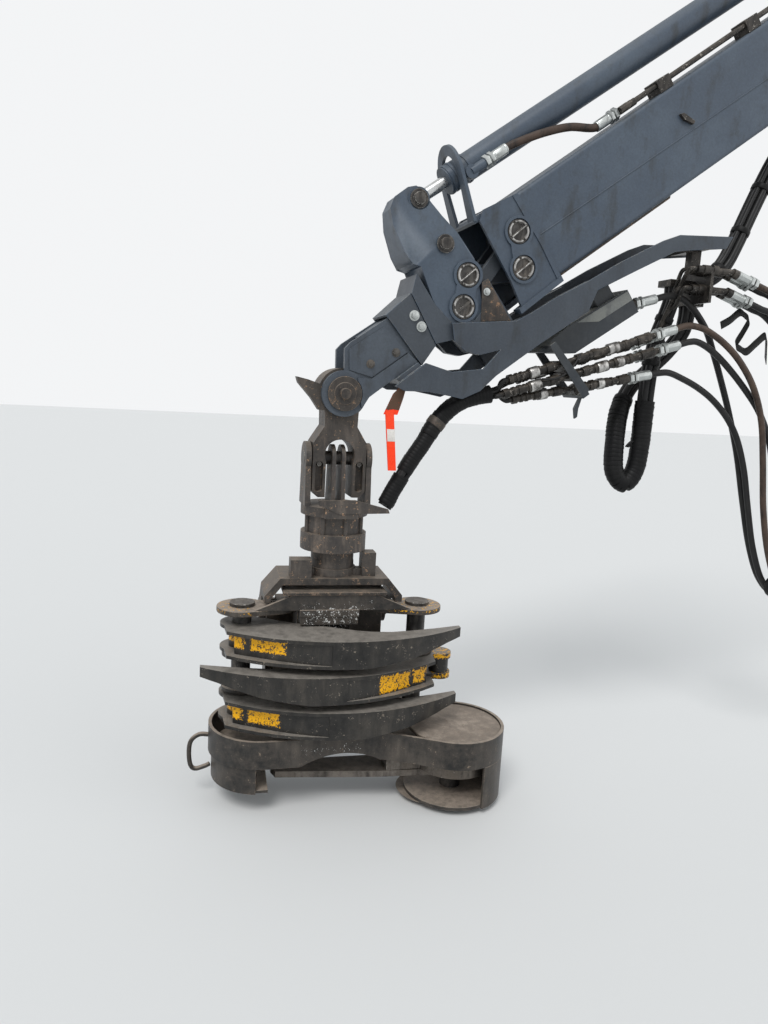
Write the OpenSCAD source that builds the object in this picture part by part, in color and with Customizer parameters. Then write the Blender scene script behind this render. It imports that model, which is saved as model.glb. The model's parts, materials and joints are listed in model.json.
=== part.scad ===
// Harvester crane boom end with a felling head hanging from it.
// Row axes: X along the crane plane towards the base, Z up, origin in the boom's base pin.
// Tip axes: x along the boom from the nose pin towards the base, z square to the boom.
// Head axes: x to the head's right, y to its back, z up from the ground below the head.

/* [Boom] */
// Angle of the boom above the horizontal
boom_slope = 37; // [30:1:45]
// Distance along the boom from the nose pin to the base pin
tip_reach = 3230; // [2900:10:3600]
// Height of the boom's centre line above the nose pin, square to the boom
tip_drop = 70; // [60:1:80]
// Depth of the box section
boom_h = 330; // [310:2:340]
// Width of the box section
boom_w = 210; // [200:1:214]
// Wall of the box section
boom_wall = 8; // [6:1:12]
// Corner radius of the folded plates
boom_corner = 16; // [12:1:24]
// Thickness of the end casting's cheeks
cheek_t = 14; // [12:1:18]
// Radius of the base pin bore
base_bore_r = 40; // [30:1:50]
// Width over the base casting
base_w = 240; // [230:2:280]

/* [Linkage] */
// Radius of the four link pins
link_pin_r = 30; // [24:1:32]
// Radius of the round pin covers
cap_r = 42; // [38:1:46]
// Radius of the bosses that carry the link pins
boss_r = 55; // [50:1:58]
// Height of a boss above its plate
boss_rise = 7; // [5:1:10]
// Depth of a pin cap below the rim of its boss
cap_sink = 3; // [1:1:4]
// Thickness of a knuckle plate
knuckle_t = 18; // [14:1:18]
// Outer width over the knuckle plates
knuckle_w = 204; // [200:1:206]
// Lean of the lever's upper half towards the middle
lever_lean = 14; // [10:0.5:15]
// Thickness of the middle link
low_link_t = 72; // [60:2:80]
// Thickness of one outer link plate
up_link_t = 30; // [24:1:32]
// Radius of the eyes of the links
link_eye_r = 42; // [40:1:42]

/* [Top cylinder] */
// Outer radius of the cylinder tube
tube_r = 50; // [44:1:52]
// Wall of the cylinder tube
tube_wall = 8; // [5:1:12]
// Radius of the piston rod
rod_r = 22; // [18:1:28]
// Width of the rod's eye
rod_eye_w = 70; // [60:2:80]
// Radius of the cylinder's two pins
cyl_pin_r = 25; // [20:1:28]
// Radius of the hole in the hoop round the cylinder
hoop_r = 72; // [70:1:78]
// Width of the hoop's ring
hoop_w = 36; // [24:1:44]
// Lean of the hoop towards the base
hoop_lean = 17; // [12:1:20]

/* [Nose] */
// Radius of the nose pin
nose_pin_r = 35; // [30:1:40]
// Radius of the nose bosses
nose_boss_r = 81; // [76:1:86]
// Radius of the round nose cap
nose_cap_r = 61; // [55:1:66]
// Half the gap between the nose cheeks
nose_gap = 62; // [60:1:66]
// Thickness of a nose cheek
nose_cheek_t = 20; // [16:1:24]
// Half the width of the collar
collar_half = 96; // [92:1:100]

/* [Hose guard] */
// Inner half gap between the guard plates
guard_gap = 112; // [111:1:116]
// Thickness of a guard plate
guard_t = 12; // [8:1:14]

/* [Hoses] */
// Radius of a hydraulic hose
hose_r = 13; // [10:1:15]
// Radius of the wrapped bundle below the couplers
wrap_r = 40; // [34:1:44]
// Radius of the ringed sleeve on the rotator's hoses
sleeve_hose_r = 34; // [28:1:38]
// Radius of a coupler's body
coupler_r = 15; // [12:1:17]

/* [Hanging link and rotator] */
// Drop from the nose pin to the cross pin
cross_drop = 236; // [230:1:250]
// Radius of the cross pin
cross_pin_r = 25; // [20:1:30]
// Drop from the nose pin to the rotator's top flange
flange_drop = 407; // [400:1:420]
// Radius of the rotator's ring
ring_r = 122; // [110:1:130]
// Drop from the nose pin to the top of the yoke
yoke_drop = 668; // [660:1:690]

/* [Felling head] */
// Turn of the head about the hanging axis
head_turn = -3; // [-30:1:30]
// Distance from the middle to an arm's shaft
shaft_u = 330; // [320:1:345]
// Depth of the arm shafts behind the hanging axis
shaft_v = -40; // [-50:1:-30]
// Radius of an arm shaft
shaft_r = 35; // [30:1:40]
// Height of an arm
arm_h = 100; // [90:1:104]
// Thickness of an arm's flanges
arm_flange_t = 12; // [8:1:16]
// Depth of the base wall
wall_h = 104; // [90:1:110]
// Thickness of the base wall
wall_t = 12; // [8:1:14]

/* [Hidden] */
$fn = 64;

run_fit = 0.08;        // running clearance of a pin in a bore that turns on it
seat_fit = 0.1;        // clearance of a pin in the piece that holds it
open_fit = 3;          // clearance at the pivots where a closed linkage is opened
weld_lap = 0.01;       // overlap that joins solids of one piece

// Pins in tip axes
pin_e = [842, 121];    // upper link on the boom
pin_f = [792, 5];      // lower link on the boom
pin_c = [604, 95];     // lower link on the knuckle
pin_d = [530, 12];     // upper link on the knuckle
pin_a = [605, 404];    // rod eye on the lever
pin_b = [589, 229];    // spacer bolt of the lever
pin_g = [2446, 388];   // rear eye of the cylinder
boom_mid = tip_drop;   // centre line of the boom
boom_top = boom_mid + boom_h / 2;
boom_low = boom_mid - boom_h / 2;
end_web_u = 890;       // front face of the plate that closes the beam
end_web_t = 8;
cheek_in = boom_w / 2;
cheek_out = cheek_in + cheek_t;
plate_out = knuckle_w / 2;
plate_in = plate_out - knuckle_t;
cap_t = 6;             // thickness of a pin cap
cap_play = 3;          // gap round a pin cap
cheek_rim = cheek_out + boss_rise;
plate_rim = plate_out + boss_rise;
up_link_out = plate_in - 8;
up_link_in = up_link_out - up_link_t;
cyl_len = norm(pin_a - pin_g);
cyl_tilt = atan2(pin_a[1] - pin_g[1], pin_g[0] - pin_a[0]);

// Heights in head axes, from the ground plane up
skid_z = 120;
left_skirt_z = 184;
knife_z = 204;
base_z = 286;
plate_t = 20;
wall_top = base_z + wall_h;
arm_low_z = wall_top + 19;
arm_mid_z = arm_low_z + arm_h + 31;
arm_up_z = arm_mid_z + arm_h + 30;
wing_z = arm_up_z + arm_h + 42;
wing_top = wing_z + plate_t;
tilt_z = wing_z - 72;
box_top = wing_z + 78;
yoke_top = wing_z + 134;
tip_height = yoke_top + yoke_drop;

// Drops from the nose pin down to the rotator's faces
stator_drop = flange_drop + 35;
ring_low = yoke_drop - 96;
ring_high = ring_low - 64;
hub_low = yoke_drop - 28;

nose_out = nose_gap + nose_cheek_t;

paint = [0.16, 0.18, 0.21];
rust = [0.23, 0.18, 0.15];
dark = [0.08, 0.08, 0.09];
bright = [0.62, 0.63, 0.62];
dusty = [0.35, 0.30, 0.25];

// Frames
module on_boom() {
  rotate([0, -boom_slope, 0]) translate([-tip_reach, 0, -tip_drop]) children();
}

function tip_row() = [
  -tip_reach * cos(boom_slope) + tip_drop * sin(boom_slope), 0,
  -tip_reach * sin(boom_slope) - tip_drop * cos(boom_slope)];

module at_tip() {
  translate(tip_row()) children();
}

module at_head() {
  at_tip() translate([0, 0, -tip_height]) rotate([0, 0, head_turn]) children();
}

// A plate in the crane plane, from y_low to y_high
module plate(points, y_low, y_high) {
  translate([0, y_high, 0]) rotate([90, 0, 0]) linear_extrude(y_high - y_low) polygon(points);
}

// The same plate on both sides of the middle
module plate_pair(points, y_in, y_out) {
  plate(points, y_in, y_out);
  plate(points, -y_out, -y_in);
}

// A round bar across the crane plane
module cross_bar(at, r, y_low, y_high) {
  translate([at[0], y_high, at[1]]) rotate([90, 0, 0]) cylinder(r = r, h = y_high - y_low);
}

module cross_bar_pair(at, r, y_in, y_out) {
  cross_bar(at, r, y_in, y_out);
  cross_bar(at, r, -y_out, -y_in);
}

// A hose through the points of its route, as one tube
hose_sides = 10;
function unit(v) = v / norm(v);
function heading(route, i) = let (n = len(route) - 1)
  i == 0 ? unit(route[1] - route[0])
  : i == n ? unit(route[n] - route[n - 1])
  : unit(unit(route[i + 1] - route[i]) + unit(route[i] - route[i - 1]));
function ring(at, along, r) = let (a = unit(cross(along, [0, 1, 0])), b = cross(along, a))
  [for (k = [0 : hose_sides - 1]) at + r * (cos(360 * k / hose_sides) * a + sin(360 * k / hose_sides) * b)];
module hose(route, r) {
  n = len(route);
  m = hose_sides;
  polyhedron(
    points = [for (i = [0 : n - 1]) each ring(route[i], heading(route, i), r)],
    faces = concat([[for (k = [0 : m - 1]) k]], [[for (k = [m - 1 : -1 : 0]) (n - 1) * m + k]],
      [for (i = [0 : n - 2], k = [0 : m - 1]) [i * m + k, (i + 1) * m + k, (i + 1) * m + (k + 1) % m]],
      [for (i = [0 : n - 2], k = [0 : m - 1]) [i * m + k, (i + 1) * m + (k + 1) % m, i * m + (k + 1) % m]]));
}

// Boom
module rounded_bar(w, h, r) {
  union() {
    square([w - 2 * r, h], center = true);
    square([w, h - 2 * r], center = true);
    for (sx = [-1, 1], sy = [-1, 1]) translate([sx * (w / 2 - r), sy * (h / 2 - r)]) circle(r);
  }
}

beam_end_u = tip_reach - 300;
module boom_beam() {
  color(paint) on_boom() translate([end_web_u + end_web_t, 0, boom_mid]) rotate([90, 0, 90])
    linear_extrude(beam_end_u - end_web_u - end_web_t) difference() {
      rounded_bar(boom_w, boom_h, boom_corner);
      rounded_bar(boom_w - 2 * boom_wall, boom_h - 2 * boom_wall, boom_corner - boom_wall);
    }
}

// Two round bosses joined by a narrower waist, on both sides
module boss_pair(a, b, y_in, y_out, grow = 0) {
  plate_pair(bar_outline(a, b, boss_r - 17 + grow, boss_r - 17 + grow), y_in, y_out);
  for (p = [a, b]) cross_bar_pair(p, boss_r + grow, y_in, y_out);
}

// The bore of a link pin and the round recesses of its caps
module pin_seat(at, rim) {
  cross_bar(at, link_pin_r + seat_fit, -200, 200);
  cross_bar_pair(at, cap_r + cap_play, rim - cap_sink - cap_t, rim + 1);
}

end_outline = [[735, boom_top - 5], [768, boom_top + 18], [901, boom_top], [906, boom_mid - 30], [884, boom_low - 14],
  [714, boom_low - 25], [728, boom_mid - 80]];
end_foot = [[700, boom_low - 12], [904, boom_low - 2], [903, boom_low - 22], [700, boom_low - 32]];
hoop_foot = [718, boom_top + 2];
module hoop() {
  rise = (pin_a[1] - hoop_foot[1]) / cos(hoop_lean);
  leg_out = hoop_r + hoop_w;
  translate([hoop_foot[0], 0, hoop_foot[1]]) rotate([0, hoop_lean, 0]) rotate([90, 0, 90]) linear_extrude(12)
    difference() {
      union() {
        translate([0, rise]) circle(leg_out);
        polygon([[-leg_out - 4, 0], [-leg_out, rise], [leg_out, rise], [leg_out + 4, 0]]);
      }
      translate([0, rise]) circle(hoop_r);
      polygon([[-hoop_r + 17, -1], [-hoop_r, rise], [hoop_r, rise], [hoop_r - 17, -1]]);
    }
}

module boom_end() {
  color(paint) on_boom() difference() {
    union() {
      plate_pair(end_outline, cheek_in, cheek_out);
      boss_pair(pin_e, pin_f, cheek_out - weld_lap, cheek_rim);
      // raised border along the beam and a foot below
      plate_pair([[885, boom_top], [906, boom_top], [910, boom_mid - 30], [904, boom_low - 8], [886, boom_low - 8],
        [892, boom_mid - 30]], cheek_in, cheek_out + 4);
      plate_pair(end_foot, cheek_in - 30, cheek_out + 8);
      hoop();
      plate([[end_web_u, boom_low], [end_web_u + end_web_t, boom_low], [end_web_u + end_web_t, boom_top],
        [end_web_u, boom_top]],
        -cheek_in - weld_lap, cheek_in + weld_lap);
      plate([[716, boom_top + 3], [726, boom_top + 12], [768, boom_top + 12], [end_web_u + weld_lap, boom_top],
        [end_web_u + weld_lap, boom_top - 14], [768, boom_top - 4], [735, boom_top - 8], [722, boom_top - 8]],
        -cheek_in - weld_lap, cheek_in + weld_lap);
    }
    for (p = [pin_e, pin_f]) pin_seat(p, cheek_rim);
  }
}

// A pin whose caps lie in the recesses, each with a bar across it
module link_pin(at, rim) {
  half = rim - cap_sink - cap_t + seat_fit;
  cross_bar(at, link_pin_r, -half, half);
  difference() {
    cross_bar_pair(at, cap_r, half, rim - cap_sink);
    cross_bar_pair(at, cap_r - 12, rim - cap_sink - 3, rim);
  }
  for (s = [-1, 1]) translate([at[0], s * (rim - cap_sink - 1.5), at[1]]) rotate([0, -5, 0])
    cube([2 * cap_r - 10, 5, 8], center = true);
}

module boom_end_pins() {
  color(dark) on_boom() for (p = [pin_e, pin_f]) link_pin(p, cheek_rim);
}

module boom_base() {
  color(paint) on_boom() difference() {
    union() {
      plate([[beam_end_u, boom_low], [beam_end_u, boom_top], [tip_reach - 60, boom_mid + 110],
        [tip_reach, boom_mid + 118], [tip_reach, boom_mid - 118], [tip_reach - 60, boom_mid - 110]],
        -boom_w / 2, boom_w / 2);
      cross_bar([tip_reach, boom_mid], 118, -base_w / 2, base_w / 2);
    }
    cross_bar([tip_reach, boom_mid], base_bore_r, -200, 200);
  }
}

lug_in = 40;
lug_out = 62;
module cylinder_lugs() {
  color(paint) on_boom() difference() {
    union() {
      plate_pair([[pin_g[0] - 120, boom_top], [pin_g[0] + 150, boom_top], [pin_g[0] + 45, pin_g[1]],
        [pin_g[0] - 45, pin_g[1]]], lug_in, lug_out);
      cross_bar_pair(pin_g, 50, lug_in, lug_out);
      plate([[pin_g[0] - 130, boom_top], [pin_g[0] + 160, boom_top], [pin_g[0] + 160, boom_top + 12],
        [pin_g[0] - 130, boom_top + 12]], -lug_out - 10, lug_out + 10);
    }
    cross_bar(pin_g, cyl_pin_r + seat_fit, -200, 200);
  }
}

module cylinder_rear_pin() {
  color(bright) on_boom() {
    cross_bar(pin_g, cyl_pin_r, -lug_out, lug_out);
    cross_bar_pair(pin_g, cyl_pin_r + 12, lug_out, lug_out + 8);
  }
}

lift_u = tip_reach - 560;
lift_drop = 95;
lift_bore_r = 30;
module lift_lugs() {
  at = [lift_u, boom_low - lift_drop];
  color(paint) on_boom() difference() {
    union() {
      plate_pair([[lift_u - 190, boom_low], [lift_u - 50, at[1]], [lift_u + 50, at[1]], [lift_u + 190, boom_low]],
        45, 69);
      cross_bar_pair(at, 56, 45, 69);
      plate([[lift_u - 200, boom_low], [lift_u + 200, boom_low], [lift_u + 200, boom_low - 12],
        [lift_u - 200, boom_low - 12]], -80, 80);
    }
    cross_bar(at, lift_bore_r, -200, 200);
  }
}

// Steel pipes along the top with their clamp and a bracket on the near side
pipe_r = 9;
module boom_pipes() {
  color(dark) on_boom() {
    for (pipe = [[-84, beam_end_u], [-60, pin_g[0] - 190], [-36, pin_g[0] - 190]])
      translate([1480, pipe[0], boom_top + 30]) rotate([0, 90, 0]) {
        cylinder(r = pipe_r, h = pipe[1] - 1500);
        translate([0, 0, -56]) cylinder(r = pipe_r + 4, h = 70);
      }
    translate([pin_g[0] - 214, -74, boom_top]) cube([40, 52, 46]);
    for (u = [1626, 2060, 2700]) translate([u - 30, -98, boom_top]) cube([60, 76, 46]);
    plate([[1618, boom_mid + 66], [1632, boom_mid + 62], [1660, boom_mid + 14], [1650, boom_mid + 8], [1624, boom_mid + 40]],
      -cheek_in - 14, -cheek_in - 0.1);
  }
}

module wear_strip() {
  color(rust) on_boom() plate([[906, boom_low], [1480, boom_low], [1470, boom_low - 12], [906, boom_low - 12]], -70, 70);
}

// Top cylinder: cylinder axes run from the rear eye towards the rod's eye
module on_cylinder() {
  on_boom() translate([pin_g[0], 0, pin_g[1]]) rotate([0, cyl_tilt, 0]) mirror([1, 0, 0]) children();
}

gland_at = cyl_len - 139;
module cylinder_tube() {
  color(paint) on_cylinder() difference() {
    union() {
      rotate([0, 90, 0]) translate([0, 0, 70]) cylinder(r = tube_r, h = gland_at - 70);
      for (back = [14, 34, 92]) rotate([0, 90, 0]) translate([0, 0, gland_at - back]) cylinder(r = tube_r + 3, h = 8);
      // port and elbow of the front hose
      translate([gland_at - 75, -tube_r + 8, -22]) rotate([90, 0, 0]) cylinder(r = 24, h = 34);
      translate([gland_at - 75, -tube_r - 14, -22]) rotate([0, -90, 0]) cylinder(r = 17, h = 60);
      rotate([90, 0, 0]) cylinder(r = 50, h = 2 * lug_in - 4, center = true);
      translate([35, 0, 0]) cube([90, 2 * lug_in - 4, 64], center = true);
    }
    rotate([0, 90, 0]) translate([0, 0, gland_at - 300]) cylinder(r = tube_r - tube_wall, h = 260);
    rotate([0, 90, 0]) translate([0, 0, gland_at - 100]) cylinder(r = rod_r + run_fit, h = 200);
    rotate([90, 0, 0]) cylinder(r = cyl_pin_r + run_fit, h = 200, center = true);
  }
}

module cylinder_rod() {
  color(bright) on_cylinder() difference() {
    union() {
      rotate([0, 90, 0]) translate([0, 0, gland_at - 200]) cylinder(r = rod_r, h = cyl_len - gland_at + 170);
      translate([cyl_len, 0, 0]) rotate([90, 0, 0]) cylinder(r = 46, h = rod_eye_w, center = true);
    }
    translate([cyl_len, 0, 0]) rotate([90, 0, 0]) cylinder(r = cyl_pin_r + open_fit, h = 200, center = true);
  }
}

// Links
function square_to(a, b) = let (d = (b - a) / norm(b - a)) [-d[1], d[0]];
function bar_outline(a, b, one, other) =
  let (n = square_to(a, b)) [a + n * one, b + n * one, b - n * other, a - n * other];

module link_lower() {
  color(paint) on_boom() difference() {
    union() {
      plate(bar_outline(pin_f, pin_c, 36, 36), -low_link_t / 2, low_link_t / 2);
      for (p = [pin_f, pin_c]) cross_bar(p, link_eye_r, -low_link_t / 2, low_link_t / 2);
    }
    cross_bar(pin_f, link_pin_r + run_fit, -200, 200);
    cross_bar(pin_c, link_pin_r + open_fit, -200, 200);
  }
}

module link_upper() {
  color(paint) on_boom() difference() {
    union() {
      plate_pair(bar_outline(pin_e, pin_d, 36, 15), up_link_in, up_link_out);
      for (p = [pin_e, pin_d]) cross_bar_pair(p, link_eye_r, up_link_in, up_link_out);
      cross_bar(pin_e, link_eye_r - 2, -up_link_in - weld_lap, up_link_in + weld_lap);
    }
    cross_bar(pin_e, link_pin_r + run_fit, -200, 200);
    cross_bar(pin_d, link_pin_r + open_fit, -200, 200);
  }
}

// Knuckle
lever_bend = 235;      // height where the plates start to lean inwards
lever_low = [[452, lever_bend], [649, lever_bend], [656, 130], [624, 46], [590, -35], [540, -50], [466, -22], [446, 80],
  [473, 211]];
lever_high = [[452, lever_bend], [452, 287], [472, 380], [500, 438], [536, 462], [596, 464], [624, 452], [636, 424],
  [632, 394], [638, 316], [649, lever_bend]];
lever_front = [[446, 90], [472, 211], [452, 238], [452, 283], [472, 373], [500, 430], [536, 453], [590, 456], [590, 444],
  [541, 441], [510, 420], [485, 368], [466, 282], [466, 246], [487, 214], [460, 90]];
module leaning(side) {
  translate([0, side * plate_out, lever_bend]) rotate([side * lever_lean, 0, 0])
    translate([0, -side * plate_out, -lever_bend]) children();
}

// The space between the outer faces of the lever
module lever_taper() {
  top = 480;
  half = plate_out - (top - lever_bend) * tan(lever_lean);
  translate([400, 0, 0]) rotate([90, 0, 90]) linear_extrude(300) polygon([[-plate_out, -100], [plate_out, -100],
    [plate_out, lever_bend], [half, top], [-half, top], [-plate_out, lever_bend]]);
}

module knuckle_plates() {
  eye_in = rod_eye_w / 2 + 2;
  color(paint) on_boom() difference() {
    union() {
      plate_pair(lever_low, plate_in, plate_out);
      for (s = [-1, 1]) leaning(s) plate(lever_high, s > 0 ? plate_in : -plate_out, s > 0 ? plate_out : -plate_in);
      intersection() {
        plate(lever_front, -plate_out, plate_out);
        lever_taper();
      }
      boss_pair(pin_c, pin_d, plate_out - weld_lap, plate_rim);
      cross_bar_pair(pin_a, 40, eye_in, 60);
      cross_bar_pair(pin_b, 34, plate_in + 4, plate_out + 2);
    }
    for (p = [pin_c, pin_d]) pin_seat(p, plate_rim);
    cross_bar(pin_a, 64, -eye_in, eye_in);
    cross_bar_pair(pin_a, 38, 60, 100);
    cross_bar(pin_a, cyl_pin_r + seat_fit, -200, 200);
    cross_bar(pin_b, 16 + seat_fit, -200, 200);
  }
}

module knuckle_pins() {
  color(dark) on_boom() {
    for (p = [pin_c, pin_d]) link_pin(p, plate_rim);
    // rings that keep the links in the middle
    cross_bar_pair(pin_c, link_eye_r - 2, low_link_t / 2 + 0.3, up_link_in - 2);
    cross_bar_pair(pin_d, link_eye_r - 2, up_link_out + 0.3, plate_in - 0.1);
  }
}

module rod_pin() {
  color(dark) on_boom() {
    cross_bar(pin_a, cyl_pin_r, -62, 62);
    cross_bar_pair(pin_a, 33, 60.1, 66);
    cross_bar_pair(pin_a, 21, 66 - weld_lap, 78);
    cross_bar(pin_b, 16, -plate_out - 3, plate_out + 3);
    cross_bar_pair(pin_b, 32, plate_out + 2.1, plate_out + 8);
    cross_bar_pair(pin_b, 20, plate_out + 8 - weld_lap, plate_out + 18);
    cross_bar(pin_b, 24, 8 - plate_in, plate_in - 8);
  }
}

// Fillers between the lever plates and the guard, with the gussets that stand on them
web_outline = [[466, -22], [540, -50], [590, -35], [632, 46], [660, 44], [664, -134], [735, -147], [853, -155],
  [999, -175], [1007, -218], [933, -263], [710, -257], [562, -257], [562, -190], [488, -162], [448, -123], [438, -65]];
module knuckle_web() {
  color(paint) on_boom() difference() {
    union() {
      plate_pair(web_outline, plate_in, guard_gap);
      plate([[470, -60], [500, -150], [560, -185], [700, -206], [700, -194], [566, -172], [512, -140], [484, -56]],
        -plate_in - weld_lap, plate_in + weld_lap);
    }
    boss_pair(pin_c, pin_d, plate_out, guard_gap + 1, 1);
    plate_pair(lever_low, plate_in - 1, plate_out);
  }
}

// Square tube from the knuckle plates down to the collar
module nose_socket() {
  color(paint) on_boom() difference() {
    plate([[393, 154], [414, 173], [446, 200], [446, 80], [466, -22], [438, -65], [374, -40]], -plate_out, plate_out);
    plate([[400, 134], [500, 134], [500, -24], [400, -24]], -plate_in, plate_in);
    plate_pair(lever_low, plate_in - 1, plate_out + 1);
    plate_pair(lever_high, plate_in - 1, plate_out + 1);
    cross_bar(pin_d, 56, -plate_in - 1, plate_in + 1);
  }
}

collar_outline = [[275, 144], [393.09, 158], [373.11, -46], [290, -76]];
module collar() {
  color(paint) on_boom() difference() {
    plate(collar_outline, -collar_half, collar_half);
    plate([[230, 134], [359.6, 136], [349.3, -41], [285, -57], [230, -60]], -nose_out, nose_out);
  }
}

nose_outline = [[42, 61], [90, 128], [118, 134], [270, 130], [359, 133], [349, -39], [285, -55], [55, -60]];
nose_cover = [[61, 58], [101, 118], [250, 112], [272, -8], [115, -8]];
nose_flange = [[20, -78], [66, -59.6], [284, -54.9], [272, -12], [112, -12], [70, 20]];
module nose() {
  color(paint) on_boom() difference() {
    union() {
      plate_pair(nose_outline, nose_gap, nose_gap + nose_cheek_t);
      cross_bar_pair([0, 0], nose_boss_r, nose_gap, nose_out + 4);
      plate_pair(nose_flange, nose_gap, nose_out + 12);
      plate_pair(nose_cover, nose_out - weld_lap, nose_out + 5);
      plate([[170, 126], [340, 126], [340, -36], [240, -50], [170, 20]], -nose_gap - weld_lap, nose_gap + weld_lap);
    }
    cross_bar([0, 0], nose_pin_r + seat_fit, -200, 200);
    cross_bar_pair([0, 0], nose_cap_r + 3, nose_out + 4, nose_out + 40);
  }
}

module nose_pin() {
  color(rust) on_boom() {
    cross_bar([0, 0], nose_pin_r, -nose_out, nose_out);
    cross_bar_pair([0, 0], nose_cap_r, nose_out + 4.1, nose_out + 16);
    cross_bar_pair([0, 0], nose_cap_r - 22, nose_out + 16 - weld_lap, nose_out + 19);
    cross_bar_pair([0, 0], 19, nose_out + 19 - weld_lap, nose_out + 30);
  }
}

// One plate on each side: the boat shaped part beside the knuckle, a notch, and the long tail below the boom
guard_outline = [[160, -75], [300, -72], [335, -116], [365, -153], [471, -211], [562, -190], [488, -162], [448, -123],
  [430, -68], [458, -9], [670, -137], [735, -145], [853, -153], [999, -173], [1137, -185], [1336, -215], [1406, -234],
  [1605, -363], [1557, -385], [1393, -293], [1357, -276], [1007, -220], [933, -267], [710, -259], [500, -260],
  [419, -271], [345, -256], [323, -233], [257, -166], [181, -111]];
module guard() {
  color(paint) on_boom() {
    plate_pair(guard_outline, guard_gap, guard_gap + guard_t);
    // cross plates: below the boom, at the bottom of the notch and under the nose
    for (p = [[[1010, -224], [1357, -276], [1358, -268], [1011, -216]],
        [[345, -241.4], [419, -256.4], [421, -244.4], [347, -229.4]],
        [[178, -57.6], [280, -55.4], [284, -84], [300, -92], [196, -92]]])
      plate(p, -guard_gap - weld_lap, guard_gap + weld_lap);
  }
}

// Valve block below the guard, with the bracket that holds the couplers and its hook
block_back_u = 1150;
block_front_u = 709;
bracket_u = 764;
bracket_low = -524;
module manifold() {
  side = [[bracket_u - 20, -290], [bracket_u + 6, -290], [bracket_u + 32, bracket_low],
    [bracket_u - 6, bracket_low]];
  color(paint) on_boom() {
    plate([[block_front_u, -295], [856, -283], [block_back_u, -302], [block_back_u, -400], [block_front_u + 130, -385]],
      -60, 60);
    plate([[1020, -225.8], [1100, -237.8], [1100, -300], [1020, -294]], -40, 40);
    plate(side, -110, -104);
    plate(side, 42, 48);
    plate([[bracket_u - 20, -290], [bracket_u + 6, -290], [bracket_u + 7, -302], [bracket_u - 19, -302]], -110, 48);
    plate([[bracket_u - 6, bracket_low], [bracket_u + 24, bracket_low], [bracket_u + 24, bracket_low - 12],
      [bracket_u - 6, bracket_low - 12]], -110, 48);
    translate([bracket_u, 0, bracket_low - 11])
      plate([[12, 0], [-6, 0], [-44, -22], [-62, -57], [-50, -57], [-30, -33]], -78, -66);
  }
}

// Couplers in rows that point towards the base: [u, z, y, slope, length before, length after] from the bracket
coupler_rows = [
  [770, -384, -82, 18.3, 250, 400], [770, -400, -18, 18.3, 190, 330], [770, -440, -76, 19.6, 300, 390],
  [770, -448, -18, 19.6, 210, 320], [764, -496, -46, 25, 270, 250]];
// Steps of a coupler: [share of its length where the step ends, radius over the body's]
coupler_steps = [[0.06, -4], [0.14, 4], [0.2, 0], [0.24, 3], [0.29, 0], [0.33, 3], [0.44, 0], [0.58, 4], [0.63, 0],
  [0.67, 3], [0.78, 0], [0.92, 4], [1, -3]];
ferrule_len = 96;
fitting = [block_back_u + 8, -20, -372];
fitting_slope = 20;
fitting_len = 110;

// A turned bar from z = start, through steps of [end, radius]
module turned(start, steps) {
  rotate_extrude() polygon(concat([[0, start]], [for (i = [0 : len(steps) - 1])
    each [[steps[i][1], i == 0 ? start : steps[i - 1][0]], [steps[i][1], steps[i][0]]]],
    [[0, steps[len(steps) - 1][0]]]));
}

module coupler(before, after) {
  turned(-before, concat(
    [for (s = coupler_steps) [-before + s[0] * (before - 30), coupler_r + s[1]]], [[30, coupler_r - 5]],
    [for (s = coupler_steps) [30 + s[0] * (after - 30), coupler_r + s[1]]], [[after + ferrule_len, coupler_r + 3]]));
  for (at = [-0.55 * before, 0.3 * after, 0.9 * after]) translate([0, 0, at])
    cylinder(r = coupler_r + 6, h = 20, $fn = 6);
}

module couplers() {
  color(dark) on_boom() {
    for (row = coupler_rows) translate([row[0], row[2], row[1]]) rotate([0, 90 + row[3], 0]) coupler(row[4], row[5]);
    // fitting in the end of the valve block
    translate(fitting) rotate([0, 90 + fitting_slope, 0]) {
      cylinder(r = coupler_r + 6, h = 24, $fn = 6);
      cylinder(r = coupler_r + 3, h = fitting_len);
    }
    translate([block_back_u + 0.1, -32, -384]) cube([12, 24, 24]);
    // clips that tie the rows to the bracket
    for (z = [-416, -460]) translate([bracket_u - 4, -103.9, z]) cube([22, 145.8, 36]);
    translate([bracket_u - 4, -60, bracket_low + 0.1]) cube([22, 28, 40]);
  }
}

// Plate that hangs from the guard's tail, in plumb axes, with four elbows to the hoses
wall_x = 1430;
elbows = [[-95, 548], [-50, 548], [-72, 478], [-28, 478]];
elbow_out = 108;
elbow_turn = 17;
elbow_len = 120;
module bulkhead() {
  color(dark) {
    on_boom() plate([[1480, -322], [1545, -358], [1540, -368], [1475, -332]], 0.1 - guard_gap, guard_gap - 0.1);
    at_tip() {
      plate([[wall_x - 30, 556], [wall_x + 12, 556], [wall_x + 12, 634], [wall_x - 30, 630]], -20, 20);
      translate([wall_x, -112, 425]) cube([12, 172, 135]);
      // saddles of the wrapped bundle
      translate([wall_x - 100, 0, 492]) cube([100 + weld_lap, 84, 26]);
      translate([wall_x - 1, 24, 425]) cube([84, 92, 24]);
      for (e = elbows) translate([wall_x, e[0], e[1]]) rotate([0, 90, 0]) {
        turned(-56, [[-30, coupler_r], [0, coupler_r + 4], [12, coupler_r], [34, coupler_r + 5], [118, coupler_r - 2]]);
        translate([0, 0, elbow_out]) rotate([0, elbow_turn, 0]) cylinder(r = coupler_r + 3, h = elbow_len);
      }
    }
  }
}

// Marker strip below the nose, with its bracket, in plumb axes
module marker() {
  color([0.9, 0.25, 0.1]) at_tip() {
    plate([[150, -50], [182, -50], [203, -268], [173, -268]], -94, -88);
    plate([[146, -66], [198, -66], [216, -8], [232, 59.3], [212, 44.2], [178, 8]], -88 - weld_lap, -83);
  }
}

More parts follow.
